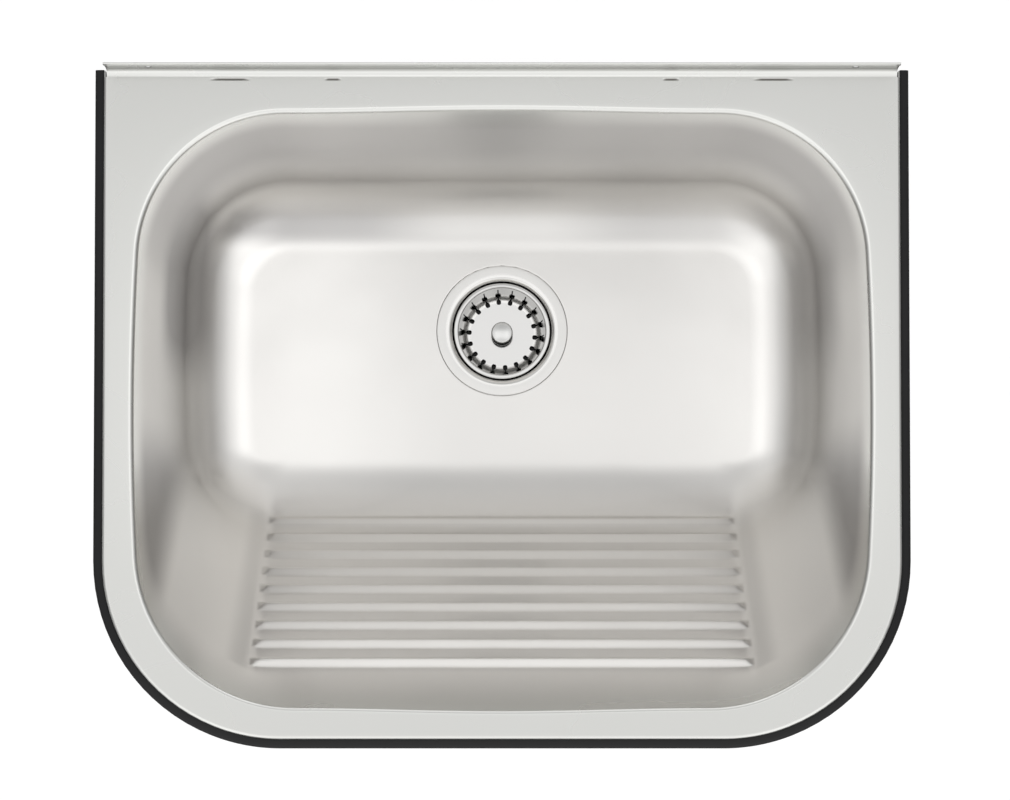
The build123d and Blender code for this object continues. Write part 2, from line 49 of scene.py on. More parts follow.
MOUTH_HALF_WIDTH = 270.5
MOUTH_REAR_Y = -33.0
MOUTH_FRONT_Y = -471.0
REAR_CORNER_R = 108.0
FRONT_CORNER_R = 116.0
FLOOR_CORNER_R = 78.0
SLOPE = math.radians(31)
DRAFT = math.radians(4)
BOW_DEGREES = 3
BOW = math.radians(BOW_DEGREES)
LINE_BOW = 2.3
LINE_BOW_FADE = 5.0, 45.0
RIM_R = 4.0
SIDE_BEND_R = 52.0
FRONT_BEND_R = 75.0
SKIRT_HALF_WIDTH = 293.4
SKIRT_FRONT_Y = -493.4
SKIRT_CORNER_R = 131.0
DECK_EDGE_R = 3.0
HALF_FLAT = SKIRT_HALF_WIDTH - DECK_EDGE_R
FRONT_FLAT_Y = SKIRT_FRONT_Y + DECK_EDGE_R
DECK_CORNER_R = SKIRT_CORNER_R - DECK_EDGE_R
BEND_START_Y = -6.3


def bowl_arcs(depth):
    """Centre x, centre y and radius of the outline's six arcs, clockwise from the rear right.

    Everything changes evenly with depth: the rear and the sides lean in by the draft, the front
    by the slope, and the corners tighten. The sides bow out, so that they are arcs as well.
    """
    half_width = MOUTH_HALF_WIDTH - depth * math.tan(DRAFT)
    rear_y = MOUTH_REAR_Y - depth * math.tan(DRAFT)
    front_y = MOUTH_FRONT_Y + depth * math.tan(SLOPE)
    rear_r = REAR_CORNER_R - (REAR_CORNER_R - FLOOR_CORNER_R) * depth / BOWL_DEPTH
    front_r = FRONT_CORNER_R - (FRONT_CORNER_R - FLOOR_CORNER_R) * depth / BOWL_DEPTH
    rear_centre = rear_y - rear_r
    front_centre = front_y + front_r
    side_r = ((rear_centre - front_centre) / math.sin(BOW) + rear_r + front_r) / 2
    side_x = half_width - side_r
    middle = rear_centre - (side_r - rear_r) * math.sin(BOW)
    rear_x = side_x + (side_r - rear_r) * math.cos(BOW)
    front_x = side_x + (side_r - front_r) * math.cos(BOW)
    x = np.array([rear_x, side_x, front_x, -front_x, -side_x, -rear_x])
    y = np.array([rear_centre, middle, front_centre, front_centre, middle, rear_centre])
    r = np.array([rear_r, side_r, front_r, front_r, side_r, rear_r])
    return np.stack([x, y, r], axis=-1)


ARCS_AT_DECK = bowl_arcs(0.0)
ARCS_PER_MM = bowl_arcs(1.0) - ARCS_AT_DECK


def even_steps(count):
    """Even steps from 0 towards 1, with 1 itself left to the run that follows."""
    return np.linspace(0, 1, count, endpoint=False)


def ease(value, start, end):
    """0 at start, 1 at end and a smooth step between."""
    ramp = np.clip((value - start) / (end - start), 0, 1)
    return ramp * ramp * (3 - 2 * ramp)


# Columns of the bowl's grid, clockwise from the left end of the rear line. A run gives the arcs
# that it starts and ends on, which differ where the outline is straight, its first and last
# heading in degrees, and its steps. The columns are closest at the ends of the ridges.
HALF_CORNER = 14
CORNER_STEPS = np.concatenate([
    np.linspace(0.0, 0.76, 17), np.linspace(0.785, 0.955, 22), [0.97, 0.985]])
column_runs = [
    (5, 0, 90, 90, even_steps(24)),
    (0, 0, 90, BOW_DEGREES, even_steps(2 * HALF_CORNER)),
    (1, 1, BOW_DEGREES, -BOW_DEGREES, even_steps(12)),
    (2, 2, -BOW_DEGREES, -90, CORNER_STEPS),
    (2, 3, -90, -90, even_steps(28)),
    (3, 3, -90, BOW_DEGREES - 180, np.concatenate([[0.0], 1 - CORNER_STEPS[:0:-1]])),
    (4, 4, BOW_DEGREES - 180, -BOW_DEGREES - 180, even_steps(12)),
    (5, 5, -BOW_DEGREES - 180, -270, even_steps(2 * HALF_CORNER)),
]
run_steps = [run[4] for run in column_runs]
run_lengths = [len(steps) for steps in run_steps]
first_arc = np.repeat([run[0] for run in column_runs], run_lengths)
second_arc = np.repeat([run[1] for run in column_runs], run_lengths)
facing = np.radians(np.concatenate([
    start + (end - start) * steps for _, _, start, end, steps in column_runs]))
share = np.where(first_arc != second_arc, np.concatenate(run_steps), 0.0)[:, None]
OUTWARD = np.stack([np.cos(facing), np.sin(facing)], axis=-1)
ALONG = np.stack([-np.sin(facing), np.cos(facing)], axis=-1)
LEAN = np.arctan(-(ARCS_PER_MM[first_arc, :2] * OUTWARD).sum(1) - ARCS_PER_MM[first_arc, 2])
TO_FRONT = np.clip(-OUTWARD[:, 1], 0, 1) ** 2
BEND_R = SIDE_BEND_R + (FRONT_BEND_R - SIDE_BEND_R) * ease(TO_FRONT, 0, 1)


def bowl_ring(depth, inset=0.0):
    """Plan of the bowl's wall at a depth, moved in square to the leaning wall by inset.

    A point is the arc's centre plus radius times the outward normal n, less inset times
    n / cos(lean) - sin(lean) * (drift along the wall per mm of depth) * t, with t along the wall.
    The rear and front lines bow out by LINE_BOW times a squared sine, which fades out with depth.
    """
    depth = np.broadcast_to(depth, LEAN.shape)[:, None]
    inset = np.broadcast_to(inset, LEAN.shape)[:, None]
    ends = []
    for arc in (first_arc, second_arc):
        arcs = ARCS_AT_DECK[arc] + depth * ARCS_PER_MM[arc]
        drift = (ARCS_PER_MM[arc, :2] * ALONG).sum(1)
        shift = OUTWARD / np.cos(LEAN)[:, None] - (np.sin(LEAN) * drift)[:, None] * ALONG
        ends.append(arcs[:, :2] + arcs[:, 2:] * OUTWARD - inset * shift)
    bow = LINE_BOW * np.sin(np.pi * share) ** 2 * (1 - ease(depth, *LINE_BOW_FADE))
    return ends[0] * (1 - share) + ends[1] * share + bow * OUTWARD


def level(plan, depth):
    """Points of a plan (x, y) at a depth below the deck."""
    depth = np.broadcast_to(depth, plan.shape[:1])
    return np.column_stack([plan, DECK_Z - depth])


def eased(count):
    """Steps from 0 to 1 that are small at both ends, where a bend runs into a flat."""
    run = np.linspace(0, 1, count)
    return 0.35 * run + 0.65 * ease(run, 0, 1)


def between(start, end, steps):
    """Points from start to end at the given steps."""
    return np.array(start) + (np.array(end) - np.array(start)) * steps[:, None]


def deck_corner(side, steps):
    """Quarter arc of the deck's front corner, from the side to the front."""
    turn = -np.pi / 2 * steps
    centre = np.array([side * (HALF_FLAT - DECK_CORNER_R), FRONT_FLAT_Y + DECK_CORNER_R])
    return centre + DECK_CORNER_R * np.stack([side * np.cos(turn), np.sin(turn)], axis=-1)


# Plan of the flat deck's outer edge, one point for each column of the bowl. Its rear corners are
# square, so half of a corner's columns go to each of the two sides.
corner_x, corner_y = ARCS_AT_DECK[0, :2]
side_end_y = FRONT_FLAT_Y + DECK_CORNER_R
first_half = 2 * run_steps[1][:HALF_CORNER]
second_half = 2 * run_steps[1][HALF_CORNER:] - 1
deck_edge = np.concatenate([
    between([-corner_x, BEND_START_Y], [corner_x, BEND_START_Y], run_steps[0]),
    between([corner_x, BEND_START_Y], [HALF_FLAT, BEND_START_Y], first_half),
    between([HALF_FLAT, BEND_START_Y], [HALF_FLAT, corner_y], second_half),
    between([HALF_FLAT, corner_y], [HALF_FLAT, side_end_y], run_steps[2]),
    deck_corner(1, run_steps[3]),
    between([HALF_FLAT - DECK_CORNER_R, FRONT_FLAT_Y], [DECK_CORNER_R - HALF_FLAT, FRONT_FLAT_Y],
            run_steps[4]),
    deck_corner(-1, 1 - run_steps[5]),
    between([-HALF_FLAT, side_end_y], [-HALF_FLAT, corner_y], run_steps[6]),
    between([-HALF_FLAT, corner_y], [-HALF_FLAT, BEND_START_Y], first_half),
    between([-HALF_FLAT, BEND_START_Y], [-corner_x, BEND_START_Y], second_half),
])

# Washboard ridges, in the slope's own frame: x across, s down the slope, w out of it. Each leaves
# the slope at its upper foot, and a shorter flank takes it back at its lower foot. They stand on a
# panel that is flattened between the corners, and that fades out at its top, foot and sides.
RIB_COUNT = 9
RIB_PITCH = 27.9
FIRST_CREST = 66.9
RIB_CRESTS = FIRST_CREST + RIB_PITCH * np.arange(RIB_COUNT)
RIB_HEIGHT = 3.5
RIB_TOP = 3.55
RIB_UPPER_FOOT = -9.1
RIB_LOWER_FOOT = 5.9
RIB_UPPER_FLANK = 8.3
RIB_LOWER_FLANK = 5.1
RIB_HALF_LENGTH = 189.5
RIB_END_FLANK = 6.0
RIB_CREST_ROUND = 0.9
RIB_TOP_ROUND = 0.4
RIB_END_ROUND = 0.7
RIB_FOOT_ROUND = 0.8
RIB_SPAN = 50, 300
RIB_FADE = 255, 290
PANEL_TOP = 30, 60
PANEL_FOOT = 285, 325
PANEL_SIDE = 184, 201
FRONT_W = 60
LOWEST_RISE = -3.0


def soft_min(a, b, width):
    """The lower of two values, with the corner where they meet rounded over a width."""
    return (a + b - np.sqrt((a - b) ** 2 + width**2)) / 2


def soft_max(a, b, width):
    """The higher of two values, rounded in the same way."""
    return (a + b + np.sqrt((a - b) ** 2 + width**2)) / 2


def rib_height(x, s):
    """Height of the ridges over the slope.

    Each is a roof: the lowest of its two flanks, its two hipped ends and its flat crest.
    """
    offset = s[..., None] - RIB_CRESTS
    offset = np.take_along_axis(offset, np.abs(offset).argmin(-1)[..., None], -1)[..., 0]
    above = RIB_HEIGHT * (offset - RIB_UPPER_FOOT) / RIB_UPPER_FLANK
    below = RIB_HEIGHT * (RIB_LOWER_FOOT - offset) / RIB_LOWER_FLANK
    ends = RIB_HEIGHT * (RIB_HALF_LENGTH - np.abs(x)) / RIB_END_FLANK
    roof = soft_min(soft_min(above, below, RIB_CREST_ROUND), RIB_TOP, RIB_TOP_ROUND)
    return soft_min(roof, ends, RIB_END_ROUND)


def press_ribs(points):
    """Flatten the sloping front between its corners, and push the washboard's ridges out of it.

    The ridges stand on the sheet as it is in the middle of each row, so they also show, lower,
    where the slope begins to bend into the floor. A point moves along w by the rounded higher of
    0 and the ridges' height there, less its own height over the middle of its row.
    """
    forward = points[..., 1] - MOUTH_FRONT_Y
    height = points[..., 2] - DECK_Z
    s = forward * math.sin(SLOPE) - height * math.cos(SLOPE)
    w = forward * math.cos(SLOPE) + height * math.sin(SLOPE)
    front_columns = np.flatnonzero((first_arc == 2) & (second_arc == 3))
    middle = front_columns[len(front_columns) // 2]
    panel = ease(s, *PANEL_TOP) * (1 - ease(s, *PANEL_FOOT)) * (w < FRONT_W)
    flat = (w - w[:, [middle]]) * panel * (1 - ease(np.abs(points[..., 0]), *PANEL_SIDE))
    run = s + (forward / math.sin(SLOPE) - s)[:, [middle]]
    rise = rib_height(points[..., 0], run) * (1 - 0.5 * ease(run, *RIB_FADE))
    rise = np.maximum(rise, LOWEST_RISE)
    lift = soft_max(rise, 0, RIB_FOOT_ROUND) - soft_max(LOWEST_RISE, 0, RIB_FOOT_ROUND)
    ribbed = (w < FRONT_W) & (s > RIB_SPAN[0]) & (s < RIB_SPAN[1]) & (rise > LOWEST_RISE)
    lift = np.where(ribbed, lift, 0.0) - flat
    return points + lift[..., None] * np.array([0, math.cos(SLOPE), math.sin(SLOPE)])


# Rows of the tank, from the deck's edge over the rim, down the wall, round the floor bend, over
# the floor and into the drain's sunk seat. On the wall they are close together at each ridge, and
# below even_depth they spread, to end where each column's floor bend begins.
ROWS_AT_CREST = np.array([
    -10.6, -9.4, -8.4, -6.9, -4.6, -2.2, -1.1, -0.3, 0.5, 1.2, 2.4, 4.0, 5.3, 6.4, 7.8])
CLOSE_SHARE = 0.44
FLAT_END_R = 55.2
SEAT_EDGE = [
    (54.3, 0.0), (53.95, 0.03), (53.75, 0.1), (53.66, 0.25), (53.62, 0.6), (53.6, 1.6),
    (53.5, 1.9), (53.3, 2.0), (45.0, 2.0)]
rim_plan = bowl_ring(RIM_R, -RIM_R)
rows = [level(deck_edge + (rim_plan - deck_edge) * step, 0) for step in np.linspace(0, 1, 9)]
for step in eased(12)[1:]:
    turn = np.pi / 2 - (np.pi / 2 - LEAN) * step
    rows.append(level(rim_plan - RIM_R * np.cos(turn)[:, None] * OUTWARD, RIM_R * (1 - np.sin(turn))))
rib_depths = (RIB_CRESTS[:, None] + ROWS_AT_CREST).ravel() * math.cos(SLOPE)
wall_foot = BOWL_DEPTH - BEND_R * (1 - np.sin(LEAN))
lowest_foot = wall_foot.max()
even_depth = wall_foot.min() - 8.0
for depth in np.concatenate([[4.5, 8, 16, 28, 40], rib_depths[rib_depths < even_depth]]):
    rows.append(level(bowl_ring(depth), depth))
spread = rib_depths[(rib_depths > even_depth) & (rib_depths < lowest_foot)]
for goal in np.append(spread, lowest_foot):
    depth = even_depth + (wall_foot - even_depth) * (goal - even_depth) / (lowest_foot - even_depth)
    rows.append(level(bowl_ring(depth), depth))
bend_plan = bowl_ring(BOWL_DEPTH - BEND_R, BEND_R)
for step in np.concatenate([
        np.linspace(0, CLOSE_SHARE, 24)[1:], np.linspace(CLOSE_SHARE, 1, 18)[1:]]):
    turn = LEAN + (np.pi / 2 - LEAN) * step
    depth = BOWL_DEPTH - BEND_R * (1 - np.sin(turn))
    rows.append(level(bend_plan + (BEND_R * np.cos(turn))[:, None] * OUTWARD, depth))
drain = np.array([0.0, DRAIN_Y])
ray = bend_plan - drain
ray = ray / np.linalg.norm(ray, axis=1)[:, None]
for step in np.linspace(0, 1, 12)[1:]:
    rows.append(level(bend_plan + (drain + FLAT_END_R * ray - bend_plan) * step, BOWL_DEPTH))
for radius, drop in SEAT_EDGE:
    rows.append(level(drain + radius * ray, BOWL_DEPTH + drop))
tank_grid = press_ribs(np.array(rows))


def sheet(grid, thickness, closed=False, keep=None, runs_on=False):
    """Vertices and faces of a sheet whose visible face is a grid of points.

    The back is the grid moved by thickness against its normals, which are the cross products of
    its steps along columns and rows. Every free edge of the kept cells gets a rim between the two
    faces, but for those of the first row where the sheet runs on there into another part.
    """
    count_rows, count_columns = grid.shape[:2]
    if closed:
        wrapped = np.concatenate([grid[:, -1:], grid, grid[:, :1]], axis=1)
        along = wrapped[:, 2:] - wrapped[:, :-2]
    else:
        along = np.gradient(grid, axis=1)
    normals = np.cross(along, np.gradient(grid, axis=0))
    normals /= np.linalg.norm(normals, axis=-1)[..., None]
    index = np.arange(count_rows * count_columns).reshape(count_rows, count_columns)
    right = np.roll(index, -1, axis=1)
    cells = np.stack([index[:-1], right[:-1], right[1:], index[1:]], axis=-1)
    if not closed:
        cells = cells[:, :-1]
    front = cells.reshape(-1, 4) if keep is None else cells[keep]
    edges = np.concatenate([front[:, [k, (k + 1) % 4]] for k in range(4)])
    total = index.size
    codes = edges[:, 0] * total + edges[:, 1]
    free = edges[~np.isin(codes, edges[:, 1] * total + edges[:, 0])]
    if runs_on:
        free = free[(free >= count_columns).any(1)]
    rims = np.stack([free[:, 1], free[:, 0], free[:, 0] + total, free[:, 1] + total], axis=-1)
    points = np.concatenate([grid.reshape(-1, 3), (grid - thickness * normals).reshape(-1, 3)])
    return points, np.concatenate([front, front[:, ::-1] + total, rims])


def make_piece(name, parts, body, nodes, material, sharp=40):
    """One object from several parts, welded where they meet.

    A part is its vertices in millimetres and its faces. Edges sharper than an angle stay sharp.
    """
    points = np.concatenate([part[0] for part in parts]) * 0.001
    starts = np.cumsum([0] + [len(part[0]) for part in parts[:-1]])
    faces = [
        [corner + start for corner in face]
        for start, part in zip(starts, parts) for face in part[1]]
    mesh = bpy.data.meshes.new(name)
    mesh.from_pydata(points, [], faces)
    welded = bmesh.new()
    welded.from_mesh(mesh)
    bmesh.ops.remove_doubles(welded, verts=welded.verts, dist=2e-6)
    welded.to_mesh(mesh)
    welded.free()
    mesh.shade_smooth()
    mesh.set_sharp_from_angle(angle=math.radians(sharp))
    piece = bpy.data.objects.new(name, mesh)
    bpy.context.scene.collection.objects.link(piece)
    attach(piece, body)
    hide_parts(*nodes)
    mesh.materials.append(material)


tank_part = sheet(tank_grid[:, ::-1], SHEET, closed=True, runs_on=True)

# Edge bend and skirt. The deck's edge, bent down along both sides and the front, which stiffens
# the tank. The skirt is 20 mm high from the deck, and its rear ends stop just short of the wall.
SKIRT_DROPS = (3.6, 4.4, 5.0, 9.0, 14.0, 19.0, 20.0)
REAR_END_Y = -0.5
skirt_columns = slice(run_lengths[0] + HALF_CORNER, len(deck_edge) - HALF_CORNER + 1)
skirt_plan = deck_edge[skirt_columns]
skirt_out = np.zeros_like(skirt_plan)
on_front = skirt_plan[:, 1] <= side_end_y
arc_centres = np.column_stack([
    np.clip(skirt_plan[:, 0], DECK_CORNER_R - HALF_FLAT, HALF_FLAT - DECK_CORNER_R),
    np.full(len(skirt_plan), side_end_y)])
skirt_out[on_front] = ((skirt_plan - arc_centres) / DECK_CORNER_R)[on_front]
skirt_out[~on_front, 0] = np.sign(skirt_plan[~on_front, 0])
skirt_rows = []
for step in eased(12):
    turn = np.pi / 2 * step
    bent = skirt_plan + DECK_EDGE_R * np.sin(turn) * skirt_out
    skirt_rows.append(level(bent, DECK_EDGE_R * (1 - np.cos(turn))))
skirt_foot = skirt_plan + DECK_EDGE_R * skirt_out
for drop in SKIRT_DROPS:
    skirt_rows.append(level(skirt_foot, drop))
skirt_grid = np.array(skirt_rows)
skirt_grid[-5:, [0, -1], 1] = REAR_END_Y
skirt_part = sheet(skirt_grid, SHEET, runs_on=True)

# Upstand. The rear of the deck, bent up along the wall, with two holes for wall screws. Its top
# edge is folded over forwards as a hem, so that no cut edge faces the user.
UPSTAND_X = 291.0
UPSTAND_BEND_R = 5.5
HEM_TOP = 13.2
HEM_FOOT = 9.0
HOLE_X = 259.5
HOLE_R = 2.75
HOLE_SQUARE = 4.5
hole_turn = np.radians(np.arange(-45, 315, 7.5))
square_side = HOLE_SQUARE * np.tan(np.radians(np.arange(-45, 46, 7.5)))
outer_x = np.append(np.linspace(HOLE_X + 9, UPSTAND_X - 4, 6), UPSTAND_X)
upstand_x = np.concatenate([
    -outer_x[::-1], -HOLE_X + square_side, np.linspace(-HOLE_X + 9, HOLE_X - 9, 60),
    HOLE_X + square_side, outer_x])
bend_turn = np.pi / 2 * eased(14)
upstand_profile = np.concatenate([
    np.column_stack([BEND_START_Y + UPSTAND_BEND_R * np.sin(bend_turn),
                     DECK_Z + UPSTAND_BEND_R * (1 - np.cos(bend_turn))]),
    np.column_stack([np.full_like(square_side, -SHEET), square_side]),
    [[-SHEET, 6.0], [-SHEET, HEM_FOOT], [-SHEET, 12.5]]])
upstand_grid = np.empty((len(upstand_profile), len(upstand_x), 3))
upstand_grid[..., 0] = upstand_x
upstand_grid[..., 1:] = upstand_profile[:, None, :]
solid = np.ones((len(upstand_profile) - 1, len(upstand_x) - 1), bool)
square_cells = len(square_side) - 1
hole_rows = slice(len(bend_turn), len(bend_turn) + square_cells)
solid[hole_rows, len(outer_x):len(outer_x) + square_cells] = False
solid[hole_rows, -len(outer_x) - square_cells:-len(outer_x)] = False
upstand_part = sheet(upstand_grid, SHEET, keep=solid, runs_on=True)


def hole_patch(centre_x):
    """Ring of flat sheet between a square of the upstand and the round screw hole in it.

    Its rings go from the square's edge, at HOLE_SQUARE over the larger of cosine and sine, to the
    hole's edge.
    """
    reach = HOLE_SQUARE / np.maximum(np.abs(np.cos(hole_turn)), np.abs(np.sin(hole_turn)))
    radius = reach + (HOLE_R - reach) * np.array([0, 0.4, 0.75, 0.94, 1.0])[:, None]
    x = centre_x + radius * np.cos(hole_turn)
    z = radius * np.sin(hole_turn)
    grid = np.stack([x, np.full_like(x, -SHEET), z], axis=-1)
    return sheet(grid, SHEET, closed=True, runs_on=True)


def long_bar(profile, x_start, x_end):
    """Bar of a closed profile of (y, z) points between two places across the tank, with flat ends."""
    count = len(profile)
    points = np.column_stack([np.repeat([x_start, x_end], count), np.tile(profile, (2, 1))])
    step = np.arange(count)
    after = (step + 1) % count
    sides = np.stack([step, step + count, after + count, after], axis=-1).tolist()
    return points, sides + [step.tolist(), (step[::-1] + count).tolist()]


fold_turn = np.radians(np.linspace(0, 180, 13))
hem_profile = np.concatenate([
    np.column_stack([-SHEET + SHEET * np.cos(fold_turn), HEM_TOP + SHEET * np.sin(fold_turn)]),
    [[-2 * SHEET, HEM_FOOT + 0.25], [-1.9 * SHEET, HEM_FOOT + 0.06], [-1.7 * SHEET, HEM_FOOT],
     [-SHEET, HEM_FOOT], [0, HEM_FOOT]]])
hem_part = long_bar(hem_profile, -UPSTAND_X, UPSTAND_X)


# Finish of the drawn sheet. Stainless steel with a fine satin polish, cool on the deck. Its colour is
# painted paler as light in places, and painted darker as shade elsewhere, and it has four burnt marks
# where the brackets are spot-welded under its rear edge. Faint clouds show in its gloss and in the
# painted shade low on the sides.
class Value:
    """A socket that takes part in sums: + - * / add Math nodes."""

    def __init__(self, material, socket):
        self.material = material
        self.socket = socket

    def maths(self, operation, *others):
        return self.material.node(
            "ShaderNodeMath", {"operation": operation}, dict(enumerate((self, *others))))

    def __add__(self, other):
        return self.maths("ADD", other)

    def __sub__(self, other):
        return self.maths("SUBTRACT", other)

    def __mul__(self, other):
        return self.maths("MULTIPLY", other)

    def __truediv__(self, other):
        return self.maths("DIVIDE", other)

    def __rsub__(self, other):
        return self.material.node("ShaderNodeMath", {"operation": "SUBTRACT"}, {0: other, 1: self})

    __radd__ = __add__
    __rmul__ = __mul__

    def above(self, start, end):
        """0 below start, 1 above end and a smooth step between."""
        return self.material.node("ShaderNodeMapRange", {"interpolation_type": "SMOOTHSTEP"}, {
            "Value": self, "From Min": start, "From Max": end})

    def below(self, start, end):
        """1 below start, 0 above end and a smooth step between."""
        return 1 - self.above(start, end)

    def away(self, centre):
        """Distance of the value from a centre."""
        return (self - centre).maths("ABSOLUTE")

    def near(self, centre, start, end):
        """1 within the distance start of a centre, 0 beyond end and a smooth step between."""
        return self.away(centre).below(start, end)


class Finish:
    """A material on one Principled shader, and the nodes that vary it over a surface."""

    def __init__(self, name, color, roughness, metallic=0.0, **sockets):
        self.material = bpy.data.materials.new(name)
        self.material.use_nodes = True
        self.nodes = self.material.node_tree.nodes
        self.links = self.material.node_tree.links
        self.shader = self.nodes["Principled BSDF"]
        self.shader.inputs["Base Color"].default_value = (*color, 1)
        self.shader.inputs["Roughness"].default_value = roughness
        self.shader.inputs["Metallic"].default_value = metallic
        for socket, value in sockets.items():
            self.shader.inputs[socket.replace("_", " ")].default_value = value

    def node(self, kind, settings=None, inputs=None, output=0):
        """Add a node: its settings first, then the values or links of its sockets."""
        node = self.nodes.new(kind)
        for key, value in (settings or {}).items():
            setattr(node, key, value)
        for key, value in (inputs or {}).items():
            if isinstance(value, Value):
                self.links.new(value.socket, node.inputs[key])
            else:
                node.inputs[key].default_value = value
        return Value(self, node.outputs[output])

    def place(self, stretch):
        """Object coordinates in metres, times a stretch along each axis."""
        coordinates = self.node("ShaderNodeTexCoord", output=3)
        return self.node("ShaderNodeMapping", {}, {"Vector": coordinates, "Scale": stretch})

    def axis(self, letter):
        """One of the object coordinates, in metres."""
        coordinates = self.node("ShaderNodeTexCoord", output=3)
        return self.node("ShaderNodeSeparateXYZ", {}, {0: coordinates}, output="XYZ".index(letter))

    def from_drain(self):
        """Distance from the drain's axis, in metres."""
        across = self.axis("X")
        along = self.axis("Y") - DRAIN_Y / 1000
        return (across * across + along * along).maths("SQRT")

    def over_floor(self):
        """Height over the bowl's floor, in metres."""
        return self.axis("Z") - FLOOR_Z / 1000

    def noise(self, scale, detail, stretch=(1, 1, 1), distortion=0.0):
        """Noise from 0 to 1, with its scale in cells per metre."""
        return self.node("ShaderNodeTexNoise", {}, {
            "Vector": self.place(stretch), "Scale": scale, "Detail": detail,
            "Distortion": distortion})

    def blend(self, factor, first, second):
        """The first colour at a factor of 0, and the second at 1."""
        first, second = (colour if isinstance(colour, Value) else (*colour, 1)
                         for colour in (first, second))
        return self.node("ShaderNodeMix", {"data_type": "RGBA"}, {
            0: factor, 6: first, 7: second}, output=2)

    def feed(self, socket, value):
        """Link a value to one of the shader's sockets."""
        self.links.new(value.socket, self.shader.inputs[socket])

    def bump(self, height, distance):
        """Raise the surface by height times distance, in metres."""
        self.feed("Normal", self.node("ShaderNodeBump", {}, {
            "Height": height, "Distance": distance, "Strength": 1.0}))


# The finish's masks run from 0 to 1, and fade between two places or distances in metres
STEEL = (0.75, 0.752, 0.728)
DRAWN_STEEL = (0.76, 0.748, 0.728)
# The next colour is painted light, and the two after it are painted shade
PAINTED_LIGHT_STEEL = (0.95, 0.935, 0.91)
PAINTED_SHADE_STEEL = (0.46, 0.45, 0.445)
UPSTAND_SHADE_STEEL = (0.4, 0.4, 0.39)
BURNT_STEEL = (0.2, 0.19, 0.18)
satin = Finish("satin stainless", STEEL, 0.25, metallic=1.0)
x = satin.axis("X")
y = satin.axis("Y")
z = satin.axis("Z")
across = x.away(0.0)
clouds = satin.noise(7.0, 4.0, distortion=0.6)
grain = satin.noise(900.0, 2.0, stretch=(1, 0.12, 1))
ripples = satin.noise(12.0, 1.0)
drawn = z.below(-0.06, -0.013)
level_floor = z.below(-0.268, -0.245)
satin.feed("Roughness", 0.24 + 0.1 * drawn - 0.07 * level_floor + 0.07 * clouds)

# Painted light: the upper slope, and the floor to the left and right of the drain, painted paler
lit_floor_ends = level_floor * x.away(0.03).above(0.06, 0.22)
painted_light = (drawn * y.below(-0.36, -0.27)).maths("MAXIMUM", lit_floor_ends)

# Painted shade: the upper rear wall, the side walls low down by the rear corners and high up by the
# front ones, and the foot of the rear wall are painted darker
rear_corners = 0.5 + 0.3 * across.above(0.12, 0.2)
rear_wall_shade = rear_corners * drawn * y.above(-0.16, -0.09) * z.above(-0.2, -0.12)
low_side_shade = across.above(0.222, 0.246) * z.near(-0.2, 0.025, 0.1) * y.near(-0.125, 0.03, 0.1)
low_side_shade = low_side_shade * (0.85 + 0.5 * clouds - 1.6 * x)
front_side_shade = drawn * across.above(0.248, 0.262) * y.near(-0.335, 0.04, 0.09)
rear_foot_shade = z.below(-0.262, -0.225) * y.near(-0.078, 0.004, 0.022)
rear_foot_shade = (0.6 - 1.2 * x) * rear_foot_shade * across.above(0.03, 0.12)

# Painted shade on the washboard: the valleys between the ridges, and a painted shadow just beyond
# the ridges' ends. Lengths down the slope are in millimetres, as for the ridges.
down = (y * 1000 - MOUTH_FRONT_Y) * math.sin(SLOPE) - (z * 1000 - DECK_Z) * math.cos(SLOPE)
on_slope = drawn * y.below(-0.25, -0.2) * down.above(50, 57) * down.below(282, 300)
pitches = (down - FIRST_CREST) / RIB_PITCH + 0.5
from_crest = pitches.maths("FRACT") * RIB_PITCH - RIB_PITCH / 2
ridge = from_crest.above(-9.7, -8.5) * from_crest.below(4.6, 6.4)
valley_shade = 0.13 * (1 - ridge) * on_slope * across.below(0.182, 0.19)
ridge_end_shadow = 0.25 * on_slope * across.near(0.196, 0.001, 0.013)

# The upstand's face, painted darker as shade, most towards its ends, and the burnt marks, two long
# and two short
upstand_shade = z.above(-0.0085, -0.006) * z.below(0.0088, 0.0092)
long_marks = across.near(0.2, 0.0085, 0.0155)
short_marks = across.near(0.1245, 0.003, 0.0065)
burnt = y.near(-0.008, 0.0003, 0.0011) * (long_marks + short_marks)

sheet_colour = satin.blend(drawn, STEEL, DRAWN_STEEL)
# Painted light: paler on the upper slope and at the floor's ends
sheet_colour = satin.blend(painted_light, sheet_colour, PAINTED_LIGHT_STEEL)
# Painted shade on the walls, in the washboard's valleys and beyond its ridges' ends
for mask in (rear_wall_shade, low_side_shade, front_side_shade, rear_foot_shade, valley_shade, ridge_end_shadow):
    sheet_colour = satin.blend(mask, sheet_colour, PAINTED_SHADE_STEEL)
# Painted shade on the upstand's face, darker towards its ends
sheet_colour = satin.blend(upstand_shade * (0.6 + 1.4 * across), sheet_colour, UPSTAND_SHADE_STEEL)
satin.feed("Base Color", satin.blend(burnt, sheet_colour, BURNT_STEEL))
satin.bump(grain * 0.01 - burnt + 3.0 * drawn * ripples, 0.0004)

make_piece(
    "sink_sheet",
    [tank_part, skirt_part, upstand_part, hole_patch(-HOLE_X), hole_patch(HOLE_X), hem_part],
    "sink", ["sink_pressing"], satin.material)


